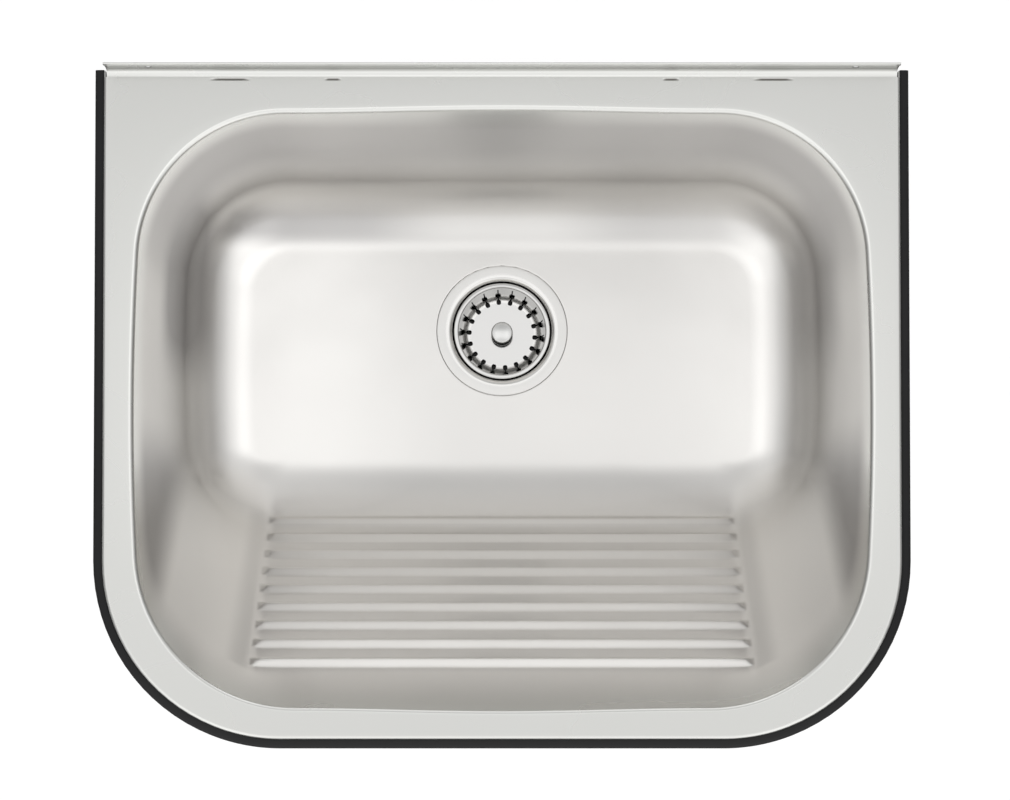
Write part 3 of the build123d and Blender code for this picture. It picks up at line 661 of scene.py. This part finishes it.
# Edge trim. A black rubber strip with a groove, pushed up over the skirt's edge and held by its
# own grip, in one length round both sides and the front. Its outer corners are rounded. It is scuffed
# a little paler at random, and painted paler along the front as a sheen.
def carried(profile, plan, out):
    """Closed profile of (distance out, depth) points carried along a plan, with flat ends.

    Each point is the plan's point plus its distance along the outward direction there.
    """
    profile = np.array(profile)
    x, y = np.moveaxis(plan[None] + profile[:, :1, None] * out[None], -1, 0)
    z = np.broadcast_to(DECK_Z - profile[:, 1:], x.shape)
    count, length = x.shape
    index = np.arange(count * length).reshape(count, length)
    after = np.roll(index, -1, axis=0)
    faces = np.stack([index[:, :-1], after[:, :-1], after[:, 1:], index[:, 1:]], axis=-1)
    points = np.stack([x, y, z], axis=-1).reshape(-1, 3)
    caps = [index[::-1, 0].tolist(), index[:, -1].tolist()]
    return points, faces.reshape(-1, 4).tolist() + caps


def rounded(centre_out, centre_depth, radius, start, steps):
    """Quarter arc of a section about a centre, clockwise from a heading in degrees."""
    turn = np.radians(start - np.linspace(0, 90, steps))
    return np.column_stack([
        centre_out + radius * np.cos(turn), centre_depth - radius * np.sin(turn)])


TRIM_OUT = 6.6
TRIM_IN = -2.4
TRIM_TOP = 3.0
TRIM_LIP_TOP = 11.0
TRIM_FOOT = 22.0
TRIM_ROUND = 2.6
TRIM_LIP_ROUND = 0.5
GROOVE = -0.85, -0.05
GROOVE_FOOT = 19.95
outer_r = TRIM_OUT - TRIM_ROUND
lip_r = TRIM_IN + TRIM_LIP_ROUND
trim_profile = np.concatenate([
    [[0.0, TRIM_TOP + 0.2], [0.25, TRIM_TOP]],
    rounded(outer_r, TRIM_TOP + TRIM_ROUND, TRIM_ROUND, 90, 9),
    rounded(outer_r, TRIM_FOOT - TRIM_ROUND, TRIM_ROUND, 0, 9),
    rounded(lip_r, TRIM_FOOT - TRIM_LIP_ROUND, TRIM_LIP_ROUND, -90, 5),
    rounded(lip_r, TRIM_LIP_TOP + TRIM_LIP_ROUND, TRIM_LIP_ROUND, -180, 5),
    [[GROOVE[0], 11.4], [GROOVE[0], GROOVE_FOOT], [GROOVE[1], GROOVE_FOOT], [GROOVE[1], 12.0]]])
trim_plan = skirt_foot.copy()
trim_plan[[0, -1], 1] = REAR_END_Y
rubber = Finish("edge rubber", (0.02, 0.02, 0.02), 0.55, Specular_IOR_Level=0.24)
rubber_grain = rubber.noise(1400.0, 4.0)
rubber_wear = rubber.noise(45.0, 5.0, distortion=0.4)
rubber.feed("Roughness", 0.46 + 0.16 * rubber_wear)
# Random wear, and a painted sheen that makes the front paler
wear_and_front_sheen = 0.5 * rubber_wear + 0.5 * rubber.axis("Y").below(-0.49, -0.4)
rubber.feed("Base Color", rubber.blend(wear_and_front_sheen, (0.006, 0.006, 0.007), (0.024, 0.024, 0.024)))
rubber.bump(rubber_grain, 0.00006)
make_piece(
    "rubber_trim", [carried(trim_profile, trim_plan, skirt_out)],
    "sink", ["edge_trim"], rubber.material)

# Hanger brackets. Two angles of mill-finished steel, spot-welded under the rear of the deck, with
# slots for wall screws. Their shape is the solids' own, and only the finish is set here.
mill = Finish("mill steel", (0.5, 0.51, 0.51), 0.4, metallic=1.0)
rolling = mill.noise(320.0, 3.0, stretch=(0.05, 1, 1))
mill.feed("Roughness", 0.36 + 0.14 * rolling)
mill.bump(rolling, 0.00005)


def finish_nodes(finish, *names):
    """Give carried-over pieces one finish."""
    for name in names:
        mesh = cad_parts[name].data
        mesh.materials.clear()
        mesh.materials.append(finish.material)


finish_nodes(mill, "hanger_bracket_left", "hanger_bracket_right")


# Strainer body. A flange and cup drawn from stainless sheet, set in the drain's seat, with a cut
# thread round the cup and a cast outlet collar below, threaded too, with a cross inside.
def turned(profile, count, wave=None):
    """Surface of a profile of (radius, height above the bowl's floor) turned about the drain.

    The profile runs anticlockwise, with the radius to the right, so that faces point outwards.
    wave(turn, radius, height) gives a new radius for each point, for threads and lugs.
    """
    profile = np.array(profile, float)
    turn = np.linspace(0, 2 * np.pi, count, endpoint=False)
    radius, turn = np.broadcast_arrays(profile[:, :1], turn)
    height = np.broadcast_to(profile[:, 1:], radius.shape)
    if wave:
        radius = wave(turn, radius, height)
    points = np.stack([
        radius * np.cos(turn), DRAIN_Y + radius * np.sin(turn), FLOOR_Z + height], axis=-1)
    index = np.arange(radius.size).reshape(radius.shape)
    right = np.roll(index, -1, axis=1)
    faces = np.stack([index[:-1], right[:-1], right[1:], index[1:]], axis=-1)
    return points.reshape(-1, 3), faces.reshape(-1, 4).tolist()


def arc(centre_r, centre_h, radius, start, end, steps):
    """Arc of a section, by its centre, radius and the headings of its ends in degrees."""
    turn = np.radians(np.linspace(start, end, steps))
    return np.column_stack([centre_r + radius * np.cos(turn), centre_h + radius * np.sin(turn)])


def upright(radius, heights):
    """Points of a section at one radius."""
    return np.column_stack([np.full(len(heights), radius), heights])


def thread(pitch, depth, low, high, inward=False):
    """A wave that cuts a screw thread of a pitch and depth between two heights.

    The groove is a smooth wave of height less pitch times turns, faded out at both ends.
    """
    def cut(turn, radius, height):
        phase = 2 * np.pi * (height / pitch) - turn
        fade = np.clip((height - low) / pitch, 0, 1) * np.clip((high - height) / pitch, 0, 1)
        groove = depth * fade * (0.5 - 0.5 * np.cos(phase))
        return radius + groove if inward else radius - groove
    return cut


OUTLET_R = 18.96
OUTLET_FOOT = -62.0
COLLAR_R = 23.85
CUP_R = 40.85
CUP_TOP_R = 41.2
FLANGE_R = 53.0
CUP_PITCH = 1.5
COLLAR_PITCH = 2.0
body_profile = np.concatenate([
    [[OUTLET_R, -61.8], [OUTLET_R, OUTLET_FOOT], [23.4, OUTLET_FOOT], [COLLAR_R, -61.6]],
    upright(COLLAR_R, np.linspace(-61.2, -48.0, 67)), [[23.9, -47.6], [23.9, -42.0]],
    arc(25.1, -42.2, 1.2, 180, 90, 5), arc(34.1, -37.5, 3.5, -90, -10, 8),
    np.column_stack([np.linspace(CUP_R, CUP_TOP_R, 94), np.linspace(-25.0, -6.5, 94)]),
    [[CUP_TOP_R, -5.8]], arc(44.7, -4.4, 3.4, 180, 90, 8), [[46.5, -1.0], [FLANGE_R, -1.0]],
    arc(FLANGE_R, -0.5, 0.5, -90, 90, 7), [[52.0, 0.02]], arc(44.6, -3.9, 3.9, 90, 178, 14),
    [[40.55, -6.0], [40.2, -12.0], [39.9, -26.5]], arc(36.9, -27.0, 2.9, 0, -32, 6),
    [[34.6, -37.2]], arc(31.8, -36.9, 3.1, -20, -90, 8), [[20.5, -40.0]],
    arc(20.0, -41.0, 1.04, 90, 180, 6), [[OUTLET_R, -43.0], [OUTLET_R, -61.8]]])


def body_threads(turn, radius, height):
    """Threads on the cup and on the outlet collar, and nowhere else."""
    on_cup = (radius > CUP_R - 0.02) & (radius < CUP_TOP_R + 0.1) & (height < -6.0)
    on_collar = (radius > COLLAR_R - 0.05) & (radius < COLLAR_R + 0.15) & (height < -47.0)
    cup_cut = thread(CUP_PITCH, 0.28, -24.5, -7.0)(turn, radius, height)
    collar_cut = thread(COLLAR_PITCH, 0.5, -61.5, -48.0)(turn, radius, height)
    return np.where(on_cup, cup_cut, np.where(on_collar, collar_cut, radius))


def block(x_size, y_size, bottom, top, chamfer=0.5):
    """Bar between two heights, centred on the drain, with chamfers along its top's long edges."""
    x = np.array([-1, 1, 1, -1]) * x_size / 2
    y = np.array([-1, -1, 1, 1]) * y_size / 2
    shrink = np.array([0.0, 0.0, chamfer])
    heights = np.array([bottom, top - chamfer, top])
    shrink_x = shrink * (x_size < y_size)
    shrink_y = shrink * (y_size < x_size)
    points = np.stack([
        x - np.sign(x) * shrink_x[:, None], DRAIN_Y + y - np.sign(y) * shrink_y[:, None],
        np.broadcast_to((FLOOR_Z + heights)[:, None], (3, 4))], axis=-1).reshape(-1, 3)
    step = np.arange(4)
    after = (step + 1) % 4
    rings = [np.stack([step, after, after + 4, step + 4], axis=-1) + 4 * k for k in range(2)]
    return points, np.concatenate(rings).tolist() + [[3, 2, 1, 0], [8, 9, 10, 11]]


# The flange is brushed and the lip inside it is bright. The cup's floor and the outlet are painted
# dark as shade.
STRAINER_STEEL = (0.74, 0.733, 0.715)
CUP_SHADE_DARK = (0.012, 0.012, 0.012)
lipped = Finish("strainer stainless", STRAINER_STEEL, 0.12, metallic=1.0)
from_axis = lipped.from_drain()
brushed = from_axis.above(0.0455, 0.0465)
lipped.feed("Roughness", 0.09 + 0.06 * lipped.noise(60.0, 3.0) + 0.18 * brushed)
over_skin = lipped.over_floor().above(-0.0408, -0.0404)
# Painted shade: the cup's floor under the basket and the outlet's bore are painted dark
cup_shade = from_axis.below(0.0355, 0.0375) * over_skin + from_axis.below(0.0192, 0.0194)
lipped.feed("Base Color", lipped.blend(cup_shade, STRAINER_STEEL, CUP_SHADE_DARK))
lipped.bump(lipped.noise(2600.0, 1.0, stretch=(1, 1, 0.3)), 0.000004)
CROSS_REACH = 38.6
CROSS_WIDTH = 3.0
CROSS_FOOT = -59.0
CROSS_TOP = -55.0
make_piece(
    "strainer_cup",
    [turned(body_profile, 160, body_threads),
     block(CROSS_REACH, CROSS_WIDTH, CROSS_FOOT, CROSS_TOP),
     block(CROSS_WIDTH, CROSS_REACH, CROSS_FOOT, CROSS_TOP)],
    "sink", ["strainer_body"], lipped.material, sharp=50)

# Seals. Flat rings of black rubber under the flange, under the bowl and in the outlet, with an
# off-white slip ring that lets the lock nut turn without dragging its gasket round.
seal = Finish("seal rubber", (0.03, 0.03, 0.03), 0.6)
bloom = seal.noise(300.0, 4.0)
seal.feed("Roughness", 0.52 + 0.18 * bloom)
seal.bump(bloom, 0.00005)
finish_nodes(seal, "flange_seal", "under_gasket", "outlet_gasket")
slip = Finish("slip plastic", (0.86, 0.85, 0.8), 0.5)
slip_cloud = slip.noise(120.0, 3.0)
slip.feed("Roughness", 0.45 + 0.12 * slip_cloud)
slip.bump(slip_cloud, 0.00003)
finish_nodes(slip, "slip_ring")

# Lock nut. A ring moulded in light grey plastic, with six lugs for a grip. It screws up the cup's
# thread and clamps the gasket against the bowl's underside.
LUG_COUNT = 6
LUG_REACH = 9.0
NUT_BORE_R = 41.55
NUT_WALL_R = 48.0


def lugs(turn, radius, height):
    """Radius of the nut's wall, pushed out to flat-topped lugs where the section is widest.

    The push is a steep step of the cosine of the turn times the number of lugs.
    """
    wave = np.cos(LUG_COUNT * turn)
    push = LUG_REACH / (1 + np.exp(-(wave - 0.52) * 26))
    share = np.clip((radius - 45.5) / 2.5, 0, 1) * np.clip((-10.0 - height) / 0.4, 0, 1)
    return radius + push * share


nut_section = np.concatenate([
    upright(NUT_BORE_R, np.linspace(-7.4, -17.2, 40)), [[42.0, -17.8], [46.6, -17.8]],
    arc(46.6, -16.4, 1.4, -90, 0, 7), upright(NUT_WALL_R, [-14.0, -11.2, -10.2, -9.6]),
    arc(48.6, -9.9, 0.6, 180, 90, 4), [[52.5, -9.3]], arc(52.5, -8.8, 0.5, -90, 0, 4),
    arc(52.5, -7.3, 0.5, 0, 90, 4), [[42.0, -6.8], [NUT_BORE_R, -7.4]]])
nut_plastic = Finish("moulded plastic", (0.72, 0.72, 0.7), 0.42)
mould = nut_plastic.noise(700.0, 3.0)
nut_plastic.feed("Roughness", 0.38 + 0.12 * mould)
nut_plastic.bump(mould, 0.00003)


def nut_wave(turn, radius, height):
    """Thread inside the ring and lugs outside it."""
    cut = thread(CUP_PITCH, 0.35, -17.2, -7.4, inward=True)(turn, radius, height)
    return np.where(radius < NUT_BORE_R + 0.15, cut, lugs(turn, radius, height))


make_piece(
    "hand_nut", [turned(nut_section, 240, nut_wave)],
    "sink", ["lock_nut"], nut_plastic.material, sharp=50)

# Tailpiece and coupling nut. A chromed brass tube with a rolled flange, held up against the
# outlet's gasket by a hexagon nut whose corners are turned off at both ends.
TUBE_BORE_R = 18.05
TUBE_R = 19.05
TUBE_FOOT = -155.5
tail_profile = np.concatenate([
    [[TUBE_BORE_R, -64.3], [TUBE_BORE_R, TUBE_FOOT]], arc(18.55, TUBE_FOOT, 0.5, 180, 360, 9),
    upright(TUBE_R, [-155.0, -72.0, -69.0]), [[19.2, -66.4], [19.5, -66.0], [23.0, -66.0]],
    arc(23.0, -65.6, 0.4, -90, 0, 4), arc(23.0, -64.4, 0.4, 0, 90, 4),
    [[18.5, -64.0], [TUBE_BORE_R, -64.3]]])
plated = Finish("chrome plate", (0.78, 0.78, 0.79), 0.08, metallic=1.0)
water_marks = plated.noise(90.0, 5.0, distortion=0.8)
plated.feed("Roughness", 0.05 + 0.1 * water_marks)
plated.bump(plated.noise(500.0, 2.0), 0.000004)
make_piece(
    "outlet_tube", [turned(tail_profile, 96)],
    "sink", ["tailpiece"], plated.material, sharp=50)

# The nut's section is turned first, and then its wall is pulled in to the hexagon's flat sides
HALF_FLATS = 27.0
COUPLING_BORE_R = 24.25
COUPLING_TOP = -51.0
COUPLING_FOOT = -68.0


def hexagon(turn, radius, height):
    """Radius of the hexagon, limited near both ends by the cone that turns its corners off.

    A flat side's radius is HALF_FLATS over the cosine of the turn from its middle.
    """
    flat = HALF_FLATS / np.cos((turn + np.pi / 6) % (np.pi / 3) - np.pi / 6)
    edge = np.minimum(height - COUPLING_FOOT, COUPLING_TOP - height)
    corner = 28.6 + 1.75 * np.maximum(edge, 0)
    return np.where(radius > HALF_FLATS - 0.5, np.minimum(flat, corner), radius)


def coupling_wave(turn, radius, height):
    """Hexagon outside and a thread inside."""
    cut = thread(COLLAR_PITCH, 0.5, -65.5, COUPLING_TOP, inward=True)(turn, radius, height)
    in_bore = np.abs(radius - COUPLING_BORE_R) < 0.15
    return np.where(in_bore, cut, hexagon(turn, radius, height))


coupling_section = np.concatenate([
    upright(COUPLING_BORE_R, np.linspace(-51.4, -65.8, 70)),
    [[24.2, -66.0], [19.45, -66.0], [19.4, -67.8], [19.6, COUPLING_FOOT], [25.6, COUPLING_FOOT]],
    upright(HALF_FLATS, [-67.9, -67.6, -67.2, -66.6, -65.8, -64.0, -59.5,
                         -55.0, -53.2, -52.4, -51.8, -51.4, -51.1]),
    [[25.6, COUPLING_TOP], [24.6, COUPLING_TOP], [COUPLING_BORE_R, -51.4]]])
make_piece(
    "hexagon_nut", [turned(coupling_section, 216, coupling_wave)],
    "sink", ["coupling_nut"], plated.material, sharp=50)

# Basket. A cup drawn from thin stainless and polished, its rim turned down, with eighteen slots
# punched from the floor up the wall. It hangs on nothing: its stopper's seat carries it.
BASKET_SHEET = 0.7
BASKET_FLOOR = -33.35
SLOT_COUNT = 18
SLOT_START = math.radians(-84.4)
SLOT_HALF = 1.9
SLIT_HALF = 0.5
SLOT_NARROWS = 28.4, 29.8
SLOT_RING_R = 27.0
SLOT_END_R = 25.35
SLOT_TOP = -9.45
COLUMNS_PER_SLOT = 8
floor_radii = [27.0, 26.7, 26.2, 25.8, 25.5, 25.3, 24.9, 23.0, 17.0, 11.0, 8.0, 4.0, 3.02]
basket_profile = np.concatenate([
    [[39.6, -5.3], [39.6, -4.3]], arc(38.6, -4.2, 1.0, 12, 90, 6), [[38.0, -3.15]],
    arc(37.0, -4.4, 1.25, 90, 170, 8), [[35.6, -5.4], [35.0, -8.6], [34.86, -9.4], [34.84, -9.5]],
    [[34.7, -10.3], [33.6, -16.0], [32.4, -22.4], [31.2, -28.6], [30.95, -29.6]],
    arc(27.0, -29.4, 3.95, -5, -88, 12),
    np.column_stack([floor_radii, np.full(len(floor_radii), BASKET_FLOOR)])])

# Half the turn that a slot takes at each row: round at its inner end, as wide as SLOT_HALF over
# the floor, and narrowing over the bend to a slit up the wall. Of a slot's eight columns, the
# first three stand across the slot and the others share the sheet up to the next one.
basket_r = basket_profile[:, 0]
slot_wide = np.interp(basket_r, SLOT_NARROWS, [SLOT_HALF, SLIT_HALF])
round_end = np.sqrt(np.maximum(SLOT_HALF**2 - (SLOT_RING_R - basket_r) ** 2, 0.2))
slot_reach = np.where(basket_r > SLOT_RING_R, slot_wide, round_end)
slot_turn = np.arcsin(np.minimum(slot_reach / basket_r, 0.9))[:, None]
slot_turn = np.minimum(slot_turn, 0.11)
slot_pitch = 2 * np.pi / SLOT_COUNT
across_slot = slot_turn * np.linspace(-1, 1, 3)
across_sheet = slot_turn + (slot_pitch - 2 * slot_turn) * np.linspace(0, 1, 7)[1:-1]
sector = np.concatenate([across_slot, across_sheet], axis=1)
turns = (SLOT_START + slot_pitch * np.arange(SLOT_COUNT))[None, :, None] + sector[:, None, :]
turns = turns.reshape(len(basket_r), -1)
basket_grid = np.stack([
    basket_r[:, None] * np.cos(turns), DRAIN_Y + basket_r[:, None] * np.sin(turns),
    np.broadcast_to(FLOOR_Z + basket_profile[:, 1:], turns.shape)], axis=-1)
solid_cells = np.ones((len(basket_r) - 1, SLOT_COUNT, COLUMNS_PER_SLOT), bool)
slot_rows = (basket_profile[1:, 1] < SLOT_TOP) & (basket_r[:-1] > SLOT_END_R)
solid_cells[slot_rows, :, :2] = False
solid_cells = solid_cells.reshape(len(basket_r) - 1, -1)

# The polish is coarser in a band round the bend, where the drawing has stretched it, and the band is
# painted pale as a highlight
BASKET_STEEL = (0.64, 0.635, 0.625)
bright = Finish("polished stainless", BASKET_STEEL, 0.1, metallic=1.0)
haze = bright.noise(60.0, 3.0)
rough_highlit_bend = bright.from_drain().near(0.0291, 0.0012, 0.003)
bright.feed("Roughness", 0.06 + 0.06 * haze + 0.3 * rough_highlit_bend)
# Painted highlight: the band round the bend is painted pale
bright.feed("Base Color", bright.blend(rough_highlit_bend, BASKET_STEEL, (0.95, 0.94, 0.92)))
bright.bump(bright.noise(2600.0, 1.0, stretch=(1, 1, 0.3)), 0.000004)
make_piece(
    "slotted_basket", [sheet(basket_grid, BASKET_SHEET, closed=True, keep=solid_cells)],
    "basket", ["strainer_basket"], bright.material, sharp=50)

# Knob. Turned from stainless bar and screwed on the basket's pin. Its side is waisted and knurled
# for the fingers, and its domed top is polished.
KNOB_R = 8.8
KNOB_WAIST = 0.6
waist = np.linspace(0, np.pi, 15)
knob_profile = np.concatenate([
    [[0.0, -32.9], [3.2, -33.1], [8.4, -33.3]], arc(8.4, -32.9, 0.4, -80, 0, 4), [[KNOB_R, -30.4]],
    np.column_stack([KNOB_R - KNOB_WAIST * np.sin(waist), np.linspace(-30.3, -16.4, 15)]),
    [[KNOB_R, -16.3]], arc(7.3, -15.5, 1.5, 0, 84, 8), [[5.0, -13.62], [2.5, -13.42], [0.0, -13.35]]])

# The knurl is two sets of fine grooves that wind both ways round the side
KNURL_TURNS = 26.0
KNURL_RISE = 2900.0
KNOB_STEEL = (0.68, 0.68, 0.67)
# The dark colour is painted shade on the knurled side, and the dark specular tint darkens the knob's
# glancing reflections as painted shade
PAINTED_KNURL_SHADE = (0.03, 0.03, 0.03)
knurled = Finish(
    "knurled stainless", KNOB_STEEL, 0.1, metallic=1.0, Specular_Tint=(0.1, 0.1, 0.1, 1))
winding = KNURL_TURNS * knurled.node("ShaderNodeMath", {"operation": "ARCTAN2"}, {
    0: knurled.axis("Y") - DRAIN_Y / 1000, 1: knurled.axis("X")})
climbing = KNURL_RISE * knurled.axis("Z")
rightward = (winding + climbing).maths("SINE")
leftward = (winding - climbing).maths("SINE")
grip = knurled.over_floor().near(-0.0245, 0.0068, 0.0075)
groove = grip * rightward.maths("MAXIMUM", leftward).above(-0.1, 0.9)
knurled.feed("Roughness", 0.2 + 0.15 * groove)
# Painted shade: the knurled side is painted dark, and its grooves darker still
knurled.feed("Base Color", knurled.blend(grip * 0.85 + groove * 0.12, KNOB_STEEL, PAINTED_KNURL_SHADE))
knurled.bump(1 - groove, 0.0002)
make_piece(
    "turned_knob", [turned(knob_profile, 72)],
    "basket", ["basket_knob"], knurled.material)

# Pin, nut, stopper and washer. A threaded pin, turned from stainless bar, runs from the knob
# through the basket's floor and the soft rubber stopper. A nut and a washer on its end keep the
# stopper up.
PIN_R = 2.98
STOPPER_BORE_R = 3.1
pin_profile = np.concatenate([
    [[0.0, -51.5], [2.3, -51.5], [2.9, -50.9]], upright(PIN_R, np.linspace(-50.6, -44.6, 60)),
    [[PIN_R, -44.0], [PIN_R, -21.5], [0.0, -21.5]]])
turned_steel = Finish("turned stainless", (0.6, 0.6, 0.59), 0.1, metallic=1.0)
tool_marks = turned_steel.noise(60.0, 2.0, stretch=(1, 1, 60))
turned_steel.feed("Roughness", 0.06 + 0.06 * tool_marks)
turned_steel.bump(tool_marks, 0.00001)
make_piece(
    "threaded_pin", [turned(pin_profile, 40, thread(0.8, 0.28, -51.0, -44.4))],
    "basket", ["basket_pin"], turned_steel.material)
stopper_profile = np.concatenate([
    [[STOPPER_BORE_R, -34.6], [STOPPER_BORE_R, -43.8], [3.4, -44.0]],
    arc(14.9, -43.4, 0.6, -90, -30, 4), [[17.9, -40.4], [18.4, -39.72], [22.9, -39.7]],
    arc(22.9, -39.1, 0.6, -90, 0, 4), [[23.5, -37.2]], arc(22.7, -36.9, 0.8, -10, 40, 4),
    [[20.4, -34.7], [19.8, -34.36], [3.5, -34.35], [STOPPER_BORE_R, -34.6]]])
make_piece(
    "soft_stopper", [turned(stopper_profile, 96)],
    "stopper", ["stopper"], seal.material, sharp=50)
finish_nodes(turned_steel, "stopper_washer", "pin_nut")

# Stage: a plain white floor well below the tank, which keeps its shadow. It is lit for the camera
# alone, so that it looks white without more light on the tank.
STAGE_HALF = 12.0
STAGE_Z = -0.62
floor_corners = [
    (side_x * STAGE_HALF, side_y * STAGE_HALF, STAGE_Z)
    for side_x, side_y in ((-1, -1), (1, -1), (1, 1), (-1, 1))]
floor_mesh = bpy.data.meshes.new("floor")
floor_mesh.from_pydata(floor_corners, [], [(0, 1, 2, 3)])
floor = bpy.data.objects.new("floor", floor_mesh)
bpy.context.scene.collection.objects.link(floor)
paper = Finish("white floor", (0.55, 0.55, 0.55), 0.8, Emission_Strength=1.0)
camera_ray = paper.node("ShaderNodeLightPath")
paper.feed("Emission Color", paper.blend(camera_ray, (0, 0, 0), (0.58, 0.58, 0.58)))
floor_mesh.materials.append(paper.material)

# Light: a white room, brightest over the front, dimmer over the wall and below the horizon, and
# darker straight overhead and at both sides than between them. The camera sees it plain white.
world = bpy.data.worlds.new("studio")
bpy.context.scene.world = world
world.use_nodes = True
studio = world.node_tree.nodes
studio_links = world.node_tree.links
direction = studio.new("ShaderNodeTexCoord")
split = studio.new("ShaderNodeSeparateXYZ")
studio_links.new(direction.outputs["Generated"], split.inputs[0])


def sky_ramp(axis, *stops):
    """Grey that changes along one axis of the sky, from stops of (height from -1 to 1, grey)."""
    height = studio.new("ShaderNodeMapRange")
    height.inputs["From Min"].default_value = -1.0
    studio_links.new(split.outputs[axis], height.inputs["Value"])
    ramp = studio.new("ShaderNodeValToRGB")
    ramp.color_ramp.interpolation = "EASE"
    for k, (place, grey) in enumerate(stops):
        stop = ramp.color_ramp.elements[k] if k < 2 else ramp.color_ramp.elements.new(1.0)
        stop.position = (place + 1) / 2
        stop.color = (grey, grey, grey, 1)
    studio_links.new(height.outputs[0], ramp.inputs[0])
    return ramp.outputs[0]


def sky_mix(kind, factor, first, second):
    """Mix of two colours in the world's nodes."""
    mix = studio.new("ShaderNodeMix")
    mix.data_type = "RGBA"
    mix.blend_type = kind
    for socket, value in ((0, factor), (6, first), (7, second)):
        if isinstance(value, (float, tuple)):
            mix.inputs[socket].default_value = value
        else:
            studio_links.new(value, mix.inputs[socket])
    return mix.outputs[2]


SKY_STRENGTH = 0.96
SKY_SEEN = (1.1, 1.1, 1.1, 1.0)
rise = sky_ramp("Z", (-0.1, 0.5), (0.25, 1.0))
lean = sky_ramp(
    "Y", (-0.95, 1.18), (-0.66, 1.02), (-0.47, 1.08), (-0.3, 0.92), (-0.05, 0.86), (0.12, 0.81),
    (0.35, 0.62), (0.72, 0.62), (0.93, 1.15))
sides = sky_ramp(
    "X", (-1.0, 0.35), (-0.8, 0.75), (-0.6, 1.2), (-0.3, 1.22), (0.0, 1.0), (0.3, 1.22), (0.6, 1.2),
    (0.8, 0.75), (1.0, 0.35))
rays = studio.new("ShaderNodeLightPath")
room = sky_mix("MULTIPLY", 1.0, sky_mix("MULTIPLY", 1.0, rise, lean), sides)
sky = sky_mix("MIX", rays.outputs["Is Camera Ray"], room, SKY_SEEN)
background = studio["Background"]
studio_links.new(sky, background.inputs["Color"])
background.inputs["Strength"].default_value = SKY_STRENGTH

# Panel: a soft area light over the bowl, which the camera doesn't see
panel_light = bpy.data.lights.new("panel", "AREA")
panel_light.shape = "RECTANGLE"
panel_light.size = 0.70
panel_light.size_y = 0.36
panel_light.energy = 0.34
panel = bpy.data.objects.new("panel", panel_light)
bpy.context.scene.collection.objects.link(panel)
panel.location = (0.0, -0.13, 0.9)
panel.visible_camera = False

# Camera: straight above the front of the tank, as the photograph was taken
camera_data = bpy.data.cameras.new("camera")
camera = bpy.data.objects.new("camera", camera_data)
bpy.context.scene.collection.objects.link(camera)
camera.location = (0.0, -0.4398, 2.22207)
camera.rotation_euler = (0.03724, -0.00099, 0.0)
camera_data.sensor_width = 36.0
camera_data.lens = 108.75
camera_data.shift_y = 0.151
camera_data.clip_end = 50
bpy.context.scene.camera = camera
bpy.context.scene.view_settings.view_transform = "Standard"
